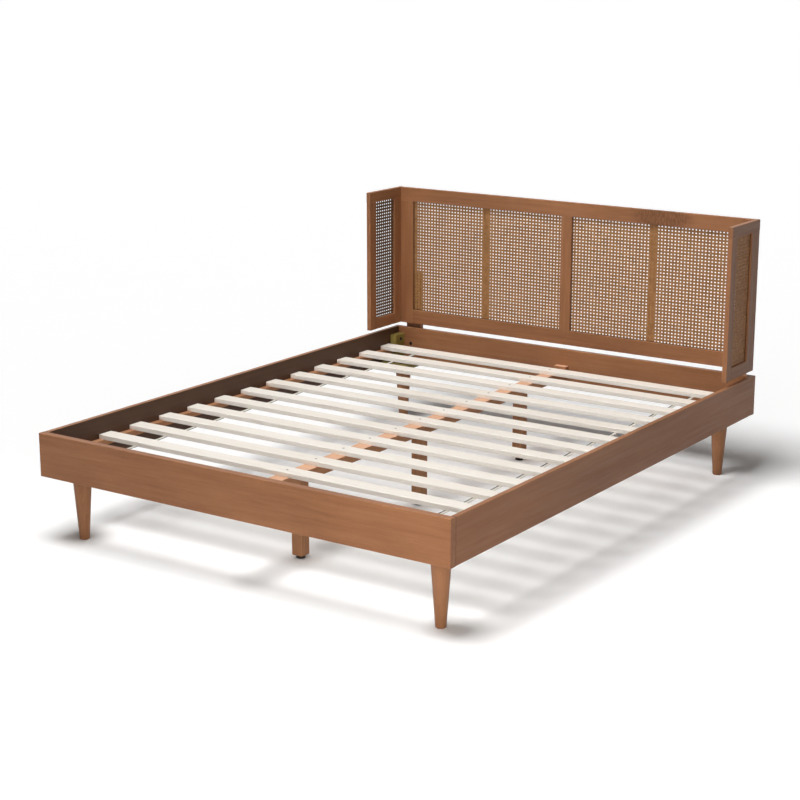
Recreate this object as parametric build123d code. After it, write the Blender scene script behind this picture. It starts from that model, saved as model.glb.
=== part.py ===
from build123d import *
import os

# Platform bed with a low rail frame, a slatted deck and a caned headboard with two wings.
# Millimetres, +Z up. The foot rail is towards -Y and the headboard towards +Y.
# The origin is on the floor, under the middle of the bed.

# Mattress, which sets the plan of the frame
mattress_width = 1524.0
mattress_length = 2032.0
mattress_side_gap = 37.0
mattress_end_gap = 33.0

# Rails
foot_rail_thickness = 27.0
head_rail_thickness = 20.0
side_rail_thickness = 18.0
rail_height = 150.0
rail_underside_height = 229.0
rail_edge_radius = 2.0

# Slatted deck
slat_count = 12
slat_width = 60.0
slat_thickness = 16.0
slat_foot_gap = 237.0
slat_head_gap = 75.0
slat_end_gap = 1.5
slat_edge_radius = 2.0
ledge_width = 24.0
ledge_height = 20.0
ledge_clearance = 30.0
strap_width = 16.0
strap_thickness = 1.2
strap_inset = 167.0
strap_front_tail = 36.0
strap_back_tail = 8.0

# Centre beam, its end blocks and its posts
beam_width = 56.0
beam_height = 34.0
beam_edge_radius = 2.0
beam_block_width = 52.0
beam_block_depth = 25.0
beam_block_rise = 13.0
centre_post_count = 3
centre_post_width = 42.0
centre_post_inset = 306.5
centre_post_edge_radius = 2.5
leveller_height = 12.0
leveller_disc_radius = 16.0
leveller_disc_thickness = 7.0
leveller_neck_radius = 6.0
leveller_stud_radius = 4.0
leveller_stud_length = 30.0
leveller_hole_spare = 3.0

# Corner legs, their plates and the corner blocks above
leg_side_inset = 95.0
leg_end_inset = 97.0
leg_top_radius = 33.0
leg_foot_radius = 17.0
leg_foot_chamfer = 2.5
leg_plate_margin = 20.0
leg_plate_thickness = 22.0
corner_block_width = 30.0
corner_block_depth = 60.0
corner_block_drop = 27.0

# Headboard back
headboard_gap = 19.0
headboard_height = 572.0
headboard_thickness = 18.0
headboard_top_rail_height = 56.0
headboard_bottom_rail_height = 58.0
headboard_stile_width = 59.0
headboard_centre_stile_width = 48.0
mullion_width = 32.0
member_edge_radius = 1.5

# Wings
wing_depth = 240.0
wing_thickness = 18.0
wing_inset = 11.0
wing_front_stile_width = 42.0
wing_back_stile_width = 64.0
wing_top_rail_height = 42.0
wing_bottom_rail_height = 46.0

# Cane, an open net held in grooves of the frames
cane_thickness = 2.0
cane_setback = 8.5
cane_groove_depth = 8.0
cane_edge_clearance = 0.5
cane_face_clearance = 0.2
back_net_pitch = 33.0
wing_net_pitch = 15.0
net_gap_share = 0.55

# Posts that carry the headboard on the head rail, and battens behind its end stiles
headboard_post_width = 70.0
headboard_post_thickness = 22.0
headboard_post_inset = 81.0
headboard_post_reach = 213.0
headboard_post_lift = 20.0
headboard_post_edge_radius = 2.0
batten_top_drop = 20.0

# Fastenings
bolt_radius = 4.0
bolt_head_radius = 9.0
bolt_head_thickness = 4.0
bolt_head_recess = 1.0
bolt_hole_clearance = 0.3
bolt_flange_radius = 7.0
bolt_flange_thickness = 1.5
rail_bolt_rise = 42.0
rail_bolt_spacing = 40.0
stile_bolt_rise = 29.0
stile_bolt_drop = 36.0
stile_bolt_bite = 12.0
block_bolt_radius = 3.0
block_bolt_head_radius = 6.5
block_bolt_head_thickness = 3.0
block_bolt_bite = 10.0
block_bolt_side_drop = 20.0
hanger_bolt_radius = 4.0
hanger_bolt_bite = 45.0
hanger_bolt_tail = 6.0
hanger_washer_radius = 10.0
hanger_washer_thickness = 1.5
hanger_nut_radius = 7.5
hanger_nut_thickness = 6.5
hexagon_sides = 6
screw_radius = 2.0
screw_head_radius = 4.2
screw_head_thickness = 2.5
screw_length = 38.0
screw_clearance = 0.15
screw_tip_spare = 1.0

# Plan of the frame
inner_width = mattress_width + 2 * mattress_side_gap
outer_width = inner_width + 2 * side_rail_thickness
well_length = mattress_length + mattress_end_gap
overall_length = (
    foot_rail_thickness + well_length + headboard_thickness + headboard_post_thickness
)
foot_outer = -overall_length / 2
foot_inner = foot_outer + foot_rail_thickness
headboard_front = foot_inner + well_length
back_plane = headboard_front + headboard_thickness
head_inner = back_plane - head_rail_thickness
post_back = back_plane + headboard_post_thickness

# Heights
rail_top = rail_underside_height + rail_height
leg_plate_top = rail_underside_height + leg_plate_thickness
corner_block_top = rail_top - corner_block_drop
ledge_underside = leg_plate_top + ledge_clearance
deck_support = ledge_underside + ledge_height
slat_top = deck_support + slat_thickness
beam_underside = deck_support - beam_height
headboard_underside = rail_top + headboard_gap
headboard_top = headboard_underside + headboard_height
headboard_post_top = headboard_underside + headboard_post_reach
headboard_post_offset = outer_width / 2 - headboard_post_inset

# Slats, evenly spaced between the two end gaps
first_slat_front = foot_inner + slat_foot_gap
last_slat_front = head_inner - slat_head_gap - slat_width
slat_pitch = (last_slat_front - first_slat_front) / (slat_count - 1)

# Wings and headboard back
wing_outer = outer_width / 2 - wing_inset
wing_inner = wing_outer - wing_thickness
wing_front = back_plane - wing_depth
stile_top = headboard_top - headboard_top_rail_height
back_opening_bottom = headboard_underside + headboard_bottom_rail_height
stile_inner = wing_inner - headboard_stile_width
centre_stile_half = headboard_centre_stile_width / 2
wing_stile_top = headboard_top - wing_top_rail_height
wing_opening_bottom = headboard_underside + wing_bottom_rail_height
wing_opening_front = wing_front + wing_front_stile_width
wing_opening_back = back_plane - wing_back_stile_width

# Beam
beam_front = foot_inner + beam_block_depth
beam_back = head_inner - beam_block_depth

LEFT = -1
RIGHT = 1


def bar(x_ends, y_ends, z_ends):
    """A square-edged timber between two values on each axis."""
    sizes = [abs(ends[1] - ends[0]) for ends in (x_ends, y_ends, z_ends)]
    middles = [(ends[0] + ends[1]) / 2 for ends in (x_ends, y_ends, z_ends)]
    return Pos(*middles) * Box(*sizes)


def eased_bar(x_ends, y_ends, z_ends, grain, radius):
    """A timber whose edges along the grain are rounded over."""
    timber = bar(x_ends, y_ends, z_ends)
    across = [
        abs(ends[1] - ends[0])
        for axis, ends in zip((Axis.X, Axis.Y, Axis.Z), (x_ends, y_ends, z_ends))
        if axis != grain
    ]
    rounding = min(radius, min(across) / 3)
    return fillet(timber.edges().filter_by(grain), rounding)


def rod(radius, length):
    """A round bar from the origin up along +Z."""
    return extrude(Circle(radius), amount=length)


def along_y(shape, x, y, z):
    """Turn a shape's +Z towards +Y and set its origin at a point."""
    return Pos(x, y, z) * Rot(-90, 0, 0) * shape


def along_x(shape, side, x, y, z):
    """Turn a shape's +Z towards the given side and set its origin at a point."""
    return Pos(x, y, z) * Rot(0, 90 * side, 0) * shape


def mirrored_ends(side, inner, outer):
    """Values on X for a piece on the left or the right half."""
    return (side * inner, side * outer)


def group(solids):
    """Several pieces of one kind kept as one node."""
    return Compound([solid for piece in solids for solid in piece.solids()])


# Rails


def rail_bolt_holes():
    """Holes through the head rail for the bolts of the headboard posts."""
    hole = rod(bolt_radius + bolt_hole_clearance, head_rail_thickness)
    return [
        along_y(hole, side * x, head_inner, height)
        for side in (LEFT, RIGHT)
        for x, height in rail_bolt_sites()
    ]


def foot_rail():
    rail = eased_bar(
        (-outer_width / 2, outer_width / 2),
        (foot_outer, foot_inner),
        (rail_underside_height, rail_top),
        Axis.X,
        rail_edge_radius,
    )
    return rail - end_bolt_holes()


def head_rail():
    rail = eased_bar(
        (-outer_width / 2, outer_width / 2),
        (head_inner, back_plane),
        (rail_underside_height, rail_top),
        Axis.X,
        rail_edge_radius,
    )
    return rail - rail_bolt_holes() - end_bolt_holes()


def side_rail(side):
    rail = eased_bar(
        mirrored_ends(side, inner_width / 2, outer_width / 2),
        (foot_inner, head_inner),
        (rail_underside_height, rail_top),
        Axis.Y,
        rail_edge_radius,
    )
    return rail - side_bolt_holes(side)


# Corners, each with a block, a plate and a tapered leg


def corner_sites():
    """Side, end direction and inner end face of each corner."""
    return [
        (side, toward_head, foot_inner if toward_head < 0 else head_inner)
        for toward_head in (-1, 1)
        for side in (LEFT, RIGHT)
    ]


def corner_block_blank(side, toward_head, end_face):
    return bar(
        mirrored_ends(side, inner_width / 2 - corner_block_width, inner_width / 2),
        (end_face - toward_head * corner_block_depth, end_face),
        (leg_plate_top, corner_block_top),
    )


def block_bolt(bite):
    """Bolt whose head rests on z = 0 and whose shank runs down through the block."""
    head = rod(block_bolt_head_radius, block_bolt_head_thickness)
    shank = Pos(0, 0, -bite) * rod(block_bolt_radius, bite)
    return head + shank


def side_bolt_place(shape, side, toward_head, end_face):
    """Set a bolt on the block's inner side, pointing into the side rail."""
    x = side * (inner_width / 2 - corner_block_width)
    y = end_face - toward_head * corner_block_depth / 2
    return along_x(shape, -side, x, y, corner_block_top - block_bolt_side_drop)


def end_bolt_place(shape, side, toward_head, end_face):
    """Set a bolt on the block's face, between plate and ledge, into the end rail."""
    x = side * (inner_width / 2 - corner_block_width / 2)
    y = end_face - toward_head * corner_block_depth
    turned = Rot(90 * toward_head, 0, 0) * shape
    return Pos(x, y, (leg_plate_top + ledge_underside) / 2) * turned


def block_hole(bite):
    reach = bite + bolt_hole_clearance
    return Pos(0, 0, -reach) * rod(block_bolt_radius + bolt_hole_clearance, reach)


def side_bolt_holes(side):
    hole = block_hole(corner_block_width + block_bolt_bite)
    return [side_bolt_place(hole, *site) for site in corner_sites() if site[0] == side]


def end_bolt_holes():
    hole = block_hole(corner_block_depth + block_bolt_bite)
    return [end_bolt_place(hole, *site) for site in corner_sites()]


def corner_blocks():
    blocks = []
    for site in corner_sites():
        side_hole = side_bolt_place(block_hole(corner_block_width), *site)
        end_hole = end_bolt_place(block_hole(corner_block_depth), *site)
        blocks.append(corner_block_blank(*site) - side_hole - end_hole)
    return group(blocks)


def corner_bolts():
    side_bolt = block_bolt(corner_block_width + block_bolt_bite)
    end_bolt = block_bolt(corner_block_depth + block_bolt_bite)
    placed = []
    for site in corner_sites():
        placed.append(side_bolt_place(side_bolt, *site))
        placed.append(end_bolt_place(end_bolt, *site))
    return group(placed)


def leg_centre(side, toward_head):
    x = side * (outer_width / 2 - leg_side_inset)
    y = foot_outer + leg_end_inset if toward_head < 0 else back_plane - leg_end_inset
    return x, y


def hanger_hole(depth):
    return rod(hanger_bolt_radius + bolt_hole_clearance, depth)


def leg_plates():
    """Boards inside the corners, level with the underside of the rails."""
    plates = []
    reach = leg_top_radius + leg_plate_margin
    for side, toward_head, end_face in corner_sites():
        x, y = leg_centre(side, toward_head)
        plate = bar(
            (x - side * reach, side * inner_width / 2),
            (y - toward_head * reach, end_face),
            (rail_underside_height, leg_plate_top),
        )
        hole = Pos(x, y, rail_underside_height) * hanger_hole(leg_plate_thickness)
        plates.append(plate - hole)
    return group(plates)


def leg(side, toward_head):
    """Round leg, tapered to the floor, its foot edge chamfered."""
    x, y = leg_centre(side, toward_head)
    profile = Polyline(
        (0, 0),
        (leg_foot_radius - leg_foot_chamfer, 0),
        (leg_foot_radius, leg_foot_chamfer),
        (leg_top_radius, rail_underside_height),
        (0, rail_underside_height),
        close=True,
    )
    turned = revolve(Plane.XZ * make_face(profile), Axis.Z)
    depth = hanger_bolt_bite + bolt_hole_clearance
    hole = Pos(0, 0, rail_underside_height - depth) * hanger_hole(depth)
    return Pos(x, y, 0) * (turned - hole)


def hanger_bolt():
    """Threaded bolt standing in the leg, with a washer and a nut on the plate."""
    tail = hanger_washer_thickness + hanger_nut_thickness + hanger_bolt_tail
    length = hanger_bolt_bite + leg_plate_thickness + tail
    shank = Pos(0, 0, -hanger_bolt_bite - leg_plate_thickness) * rod(
        hanger_bolt_radius, length
    )
    washer = rod(hanger_washer_radius, hanger_washer_thickness)
    nut = extrude(
        RegularPolygon(hanger_nut_radius, hexagon_sides), amount=hanger_nut_thickness
    )
    return shank + washer + Pos(0, 0, hanger_washer_thickness) * nut


def leg_bolts():
    placed = []
    for side, toward_head, _ in corner_sites():
        x, y = leg_centre(side, toward_head)
        placed.append(Pos(x, y, leg_plate_top) * hanger_bolt())
    return group(placed)


# Slatted deck


def slat_front(index):
    """Front edge of a slat, counted from the foot."""
    return first_slat_front + index * slat_pitch


def slat_screw():
    """Countersunk screw whose head is flush with the slat's top face."""
    head = Pos(0, 0, -screw_head_thickness) * rod(
        screw_head_radius, screw_head_thickness
    )
    shank = Pos(0, 0, -screw_length) * rod(screw_radius, screw_length)
    return head + shank


def slat_screw_hole():
    head = Pos(0, 0, -screw_head_thickness) * rod(
        screw_head_radius + screw_clearance, screw_head_thickness
    )
    depth = screw_length + screw_tip_spare
    shank = Pos(0, 0, -depth) * rod(screw_radius + screw_clearance, depth)
    return head + shank


def at_screw(shape, index):
    """Set a screw or its hole in the middle of a slat's top face."""
    return Pos(0, slat_front(index) + slat_width / 2, slat_top) * shape


def slat(index):
    half = inner_width / 2 - slat_end_gap
    front = slat_front(index)
    board = eased_bar(
        (-half, half),
        (front, front + slat_width),
        (deck_support, slat_top),
        Axis.X,
        slat_edge_radius,
    )
    return board - at_screw(slat_screw_hole(), index)


def slat_screws():
    screw = slat_screw()
    return group([at_screw(screw, index) for index in range(slat_count)])


def slat_strap(side):
    """Webbing under the slats that keeps them evenly apart."""
    middle = side * (inner_width / 2 - strap_inset)
    return bar(
        (middle - strap_width / 2, middle + strap_width / 2),
        (
            first_slat_front - strap_front_tail,
            last_slat_front + slat_width + strap_back_tail,
        ),
        (deck_support - strap_thickness, deck_support),
    )


def slat_ledge(side):
    """Cleat inside the side rail, stopped short of the corner blocks."""
    return bar(
        mirrored_ends(side, inner_width / 2 - ledge_width, inner_width / 2),
        (foot_inner + corner_block_depth, head_inner - corner_block_depth),
        (ledge_underside, deck_support),
    )


# Centre support


def centre_beam():
    beam = eased_bar(
        (-beam_width / 2, beam_width / 2),
        (beam_front, beam_back),
        (beam_underside, deck_support),
        Axis.Y,
        beam_edge_radius,
    )
    hole = slat_screw_hole()
    return beam - [at_screw(hole, index) for index in range(slat_count)]


def beam_block(y_ends):
    """Block on the foot or the head rail that the end of the beam butts against."""
    return bar(
        (-beam_block_width / 2, beam_block_width / 2),
        y_ends,
        (beam_underside, deck_support + beam_block_rise),
    )


def centre_post_y(index):
    first = beam_front + centre_post_inset
    last = beam_back - centre_post_inset
    return first + index * (last - first) / (centre_post_count - 1)


def centre_leg(index):
    y = centre_post_y(index)
    half = centre_post_width / 2
    post = eased_bar(
        (-half, half),
        (y - half, y + half),
        (leveller_height, beam_underside),
        Axis.Z,
        centre_post_edge_radius,
    )
    hole = rod(
        leveller_stud_radius + bolt_hole_clearance,
        leveller_stud_length + leveller_hole_spare,
    )
    return post - Pos(0, y, leveller_height) * hole


def leveller():
    """Screw-in foot with a flat disc on the floor."""
    disc = rod(leveller_disc_radius, leveller_disc_thickness)
    neck = rod(leveller_neck_radius, leveller_height)
    stud = rod(leveller_stud_radius, leveller_height + leveller_stud_length)
    return disc + neck + stud


def levelling_feet():
    return group(
        [Pos(0, centre_post_y(index), 0) * leveller() for index in range(centre_post_count)]
    )


# Cane and its grooves


def centred_steps(count, pitch):
    return [(step - (count - 1) / 2) * pitch for step in range(count)]


def cane_net(opening_width, opening_height, pitch):
    """Flat holed sheet on XY, centred on the opening that it fills."""
    hold = cane_groove_depth - cane_edge_clearance
    half_width = opening_width / 2 + hold
    half_height = opening_height / 2 + hold
    outline = Wire.make_polygon(
        [
            (-half_width, -half_height),
            (half_width, -half_height),
            (half_width, half_height),
            (-half_width, half_height),
        ]
    )
    columns = int(opening_width // pitch)
    rows = int(opening_height // pitch)
    gaps = [
        Wire.make_circle(pitch * net_gap_share / 2, Plane((x, y, 0)))
        for x in centred_steps(columns, pitch)
        for y in centred_steps(rows, pitch)
    ]
    return Pos(0, 0, -cane_thickness / 2) * extrude(Face(outline, gaps), cane_thickness)


def cane_layer(setback_face, toward):
    """Both faces of the groove, from the show face of the frame inwards."""
    near = setback_face + toward * (cane_setback - cane_face_clearance)
    far = setback_face + toward * (cane_setback + cane_thickness + cane_face_clearance)
    return (near, far)


def back_opening(side):
    """Ends on X and on Z of one opening in the headboard back."""
    return (
        mirrored_ends(side, centre_stile_half, stile_inner),
        (back_opening_bottom, stile_top),
    )


def grown(ends, margin):
    low, high = min(ends), max(ends)
    return (low - margin, high + margin)


def back_grooves():
    """The spaces that both cane sheets need in the members of the back."""
    grooves = []
    for side in (LEFT, RIGHT):
        x_ends, z_ends = back_opening(side)
        grooves.append(
            bar(
                grown(x_ends, cane_groove_depth),
                cane_layer(headboard_front, 1),
                grown(z_ends, cane_groove_depth),
            )
        )
    return grooves


def back_cane(side):
    x_ends, z_ends = back_opening(side)
    net = cane_net(
        abs(x_ends[1] - x_ends[0]), z_ends[1] - z_ends[0], back_net_pitch
    )
    x = (x_ends[0] + x_ends[1]) / 2
    y = headboard_front + cane_setback + cane_thickness / 2
    return Pos(x, y, (z_ends[0] + z_ends[1]) / 2) * Rot(90, 0, 0) * net


# Headboard back, its top rail laid over the stiles


def back_member(x_ends, z_ends, grain):
    member = eased_bar(
        x_ends, (headboard_front, back_plane), z_ends, grain, member_edge_radius
    )
    return member - back_grooves()


def headboard_top_rail():
    return back_member(
        (-wing_inner, wing_inner), (stile_top, headboard_top), Axis.X
    )


def headboard_bottom_rail():
    return back_member(
        (-stile_inner, stile_inner),
        (headboard_underside, back_opening_bottom),
        Axis.X,
    )


def headboard_stile(side):
    stile = back_member(
        mirrored_ends(side, stile_inner, wing_inner),
        (headboard_underside, stile_top),
        Axis.Z,
    )
    depth = stile_bolt_bite + bolt_hole_clearance
    hole = rod(bolt_radius + bolt_hole_clearance, depth)
    holes = [
        along_y(hole, side * x, back_plane - depth, height)
        for x, height in stile_bolt_sites()
    ]
    return stile - holes


def headboard_centre_stile():
    return back_member(
        (-centre_stile_half, centre_stile_half), (back_opening_bottom, stile_top), Axis.Z
    )


def headboard_mullion(side):
    """Batten behind the cane, in the middle of an opening and flush with the back."""
    x_ends, z_ends = back_opening(side)
    middle = (x_ends[0] + x_ends[1]) / 2
    return bar(
        (middle - mullion_width / 2, middle + mullion_width / 2),
        (cane_layer(headboard_front, 1)[1], back_plane),
        z_ends,
    )


# Wings


def wing_opening():
    """Ends on Y and on Z of the opening in a wing."""
    return (wing_opening_front, wing_opening_back), (wing_opening_bottom, wing_stile_top)


def wing_groove(side):
    y_ends, z_ends = wing_opening()
    return bar(
        cane_layer(side * wing_inner, side),
        grown(y_ends, cane_groove_depth),
        grown(z_ends, cane_groove_depth),
    )


def wing_member(side, y_ends, z_ends, grain):
    member = eased_bar(
        mirrored_ends(side, wing_inner, wing_outer),
        y_ends,
        z_ends,
        grain,
        member_edge_radius,
    )
    return member - wing_groove(side)


def wing_top_rail(side):
    return wing_member(
        side, (wing_front, back_plane), (wing_stile_top, headboard_top), Axis.Y
    )


def wing_bottom_rail(side):
    return wing_member(
        side,
        (wing_opening_front, wing_opening_back),
        (headboard_underside, wing_opening_bottom),
        Axis.Y,
    )


def wing_front_stile(side):
    return wing_member(
        side,
        (wing_front, wing_opening_front),
        (headboard_underside, wing_stile_top),
        Axis.Z,
    )


def wing_back_stile(side):
    return wing_member(
        side,
        (wing_opening_back, back_plane),
        (headboard_underside, wing_stile_top),
        Axis.Z,
    )


def wing_cane(side):
    y_ends, z_ends = wing_opening()
    net = cane_net(y_ends[1] - y_ends[0], z_ends[1] - z_ends[0], wing_net_pitch)
    x = side * (wing_inner + cane_setback + cane_thickness / 2)
    y = (y_ends[0] + y_ends[1]) / 2
    turned = Rot(0, 0, 90) * Rot(90, 0, 0) * net
    return Pos(x, y, (z_ends[0] + z_ends[1]) / 2) * turned


# Posts and battens behind the headboard


def stile_bolt_offset():
    """Place on X where the post and the stile lie one behind the other."""
    post_outer = headboard_post_offset + headboard_post_width / 2
    return (stile_inner + min(post_outer, wing_inner)) / 2


def rail_bolt_sites():
    """Distance from the middle and height of each bolt in the head rail."""
    lower = rail_underside_height + rail_bolt_rise
    heights = (lower, lower + rail_bolt_spacing)
    return [(headboard_post_offset, height) for height in heights]


def stile_bolt_sites():
    """Distance from the middle and height of each bolt in a stile."""
    lower = headboard_underside + stile_bolt_rise
    upper = headboard_post_top - stile_bolt_drop
    return [(stile_bolt_offset(), height) for height in (lower, upper)]


def headboard_post(side):
    middle = side * headboard_post_offset
    post = eased_bar(
        (middle - headboard_post_width / 2, middle + headboard_post_width / 2),
        (back_plane, post_back),
        (rail_underside_height + headboard_post_lift, headboard_post_top),
        Axis.Z,
        headboard_post_edge_radius,
    )
    recess_depth = bolt_head_thickness + bolt_head_recess
    hole = rod(bolt_radius + bolt_hole_clearance, headboard_post_thickness)
    recess = rod(bolt_head_radius + bolt_hole_clearance, recess_depth)
    for x, height in rail_bolt_sites() + stile_bolt_sites():
        post -= along_y(hole, side * x, back_plane, height)
        post -= along_y(recess, side * x, post_back - recess_depth, height)
    return post


def headboard_batten(side):
    """Board behind an end stile, from the top of the post up to the top rail."""
    return eased_bar(
        mirrored_ends(side, stile_inner, wing_inner),
        (back_plane, post_back),
        (headboard_post_top, headboard_top - batten_top_drop),
        Axis.Z,
        headboard_post_edge_radius,
    )


def post_bolt(shank_length):
    """Bolt with its head's seat on z = 0 and its shank down -Z."""
    head = rod(bolt_head_radius, bolt_head_thickness)
    shank = Pos(0, 0, -shank_length) * rod(bolt_radius, shank_length)
    return head + shank


def rail_bolt():
    """Bolt through post and head rail, with a flanged nut on the rail's inner face."""
    wood = headboard_post_thickness - bolt_head_thickness - bolt_head_recess
    length = wood + head_rail_thickness + bolt_flange_thickness
    flange = Pos(0, 0, -length) * rod(bolt_flange_radius, bolt_flange_thickness)
    return post_bolt(length) + flange


def stile_bolt():
    wood = headboard_post_thickness - bolt_head_thickness - bolt_head_recess
    return post_bolt(wood + stile_bolt_bite)


def headboard_bolts():
    seat = post_back - bolt_head_thickness - bolt_head_recess
    placed = []
    for bolt, sites in ((rail_bolt(), rail_bolt_sites()), (stile_bolt(), stile_bolt_sites())):
        for x, height in sites:
            placed += [along_y(bolt, side * x, seat, height) for side in (LEFT, RIGHT)]
    return group(placed)


def all_nodes():
    nodes = {
        "foot_rail": foot_rail(),
        "head_rail": head_rail(),
        "corner_blocks": corner_blocks(),
        "corner_bolts": corner_bolts(),
        "leg_plates": leg_plates(),
        "leg_bolts": leg_bolts(),
        "slat_screws": slat_screws(),
        "centre_beam": centre_beam(),
        "beam_block_foot": beam_block((foot_inner, beam_front)),
        "beam_block_head": beam_block((beam_back, head_inner)),
        "levelling_feet": levelling_feet(),
        "headboard_top_rail": headboard_top_rail(),
        "headboard_bottom_rail": headboard_bottom_rail(),
        "headboard_centre_stile": headboard_centre_stile(),
        "headboard_bolts": headboard_bolts(),
    }
    for index, place in enumerate(("foot", "middle", "head")):
        nodes[f"centre_leg_{place}"] = centre_leg(index)
    for index in range(slat_count):
        nodes[f"slat_{index + 1:02d}"] = slat(index)
    for side, name in ((LEFT, "left"), (RIGHT, "right")):
        nodes[f"side_rail_{name}"] = side_rail(side)
        nodes[f"slat_ledge_{name}"] = slat_ledge(side)
        nodes[f"slat_strap_{name}"] = slat_strap(side)
        nodes[f"leg_front_{name}"] = leg(side, -1)
        nodes[f"leg_back_{name}"] = leg(side, 1)
        nodes[f"headboard_stile_{name}"] = headboard_stile(side)
        nodes[f"headboard_mullion_{name}"] = headboard_mullion(side)
        nodes[f"headboard_post_{name}"] = headboard_post(side)
        nodes[f"headboard_batten_{name}"] = headboard_batten(side)
        nodes[f"back_cane_{name}"] = back_cane(side)
        nodes[f"wing_{name}_top_rail"] = wing_top_rail(side)
        nodes[f"wing_{name}_bottom_rail"] = wing_bottom_rail(side)
        nodes[f"wing_{name}_front_stile"] = wing_front_stile(side)
        nodes[f"wing_{name}_back_stile"] = wing_back_stile(side)
        nodes[f"wing_{name}_cane"] = wing_cane(side)
    return nodes


os.makedirs("parts", exist_ok=True)
for node, shape in all_nodes().items():
    export_step(shape, f"parts/{node}.step")
    print(node, len(shape.solids()), round(shape.volume, 1))
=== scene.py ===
"""Looks of a low platform bed with a slatted deck and a caned headboard with two wings.

Everything is in metres. The foot of the bed is towards -Y, the headboard towards +Y, and the floor is z = 0.
"""

import logging
import math
import random
from dataclasses import dataclass, field, replace
from enum import Enum
from typing import Iterator, Optional, Sequence, Union

import bmesh
import bpy
from mathutils import Matrix, Vector


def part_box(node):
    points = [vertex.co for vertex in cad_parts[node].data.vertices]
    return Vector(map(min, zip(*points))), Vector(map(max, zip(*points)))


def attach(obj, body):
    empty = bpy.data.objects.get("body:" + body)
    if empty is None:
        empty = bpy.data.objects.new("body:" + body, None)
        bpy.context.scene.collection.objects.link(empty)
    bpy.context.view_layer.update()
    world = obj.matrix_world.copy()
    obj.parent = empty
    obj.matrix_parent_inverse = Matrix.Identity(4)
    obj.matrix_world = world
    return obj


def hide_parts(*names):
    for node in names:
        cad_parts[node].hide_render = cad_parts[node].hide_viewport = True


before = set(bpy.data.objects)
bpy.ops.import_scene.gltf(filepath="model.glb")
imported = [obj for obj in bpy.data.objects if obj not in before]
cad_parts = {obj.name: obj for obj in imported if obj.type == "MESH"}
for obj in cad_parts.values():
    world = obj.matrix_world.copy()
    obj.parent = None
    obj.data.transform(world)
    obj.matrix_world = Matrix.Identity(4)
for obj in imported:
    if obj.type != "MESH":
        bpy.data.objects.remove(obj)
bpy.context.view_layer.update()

log = logging.getLogger("platform_bed")

Colour = tuple[float, float, float]
Socket = bpy.types.NodeSocket
Value = Union[float, Sequence[float], Socket]
Inputs = dict[Union[str, int], Value]

MM = 0.001
ROOT = "root"


class Grain(Enum):
    """Axis that the fibres of a timber follow, with the turn that brings it onto X."""

    ALONG_X = (0, (0.0, 0.0, 0.0))
    ALONG_Y = (1, (0.0, 0.0, -math.pi / 2))
    ALONG_Z = (2, (0.0, math.pi / 2, 0.0))

    @property
    def index(self) -> int:
        """Number of the axis, 0 for X."""
        return self.value[0]

    @property
    def turn(self) -> tuple[float, float, float]:
        """Euler angles that lay the grain along X."""
        return self.value[1]


class Side(Enum):
    """Half of the bed, as seen from the foot."""

    LEFT = ("left", -1)
    RIGHT = ("right", 1)

    @property
    def label(self) -> str:
        """Word used in node names."""
        return self.value[0]

    @property
    def sign(self) -> int:
        """Sign of X on this side."""
        return self.value[1]


# Shader graphs


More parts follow.
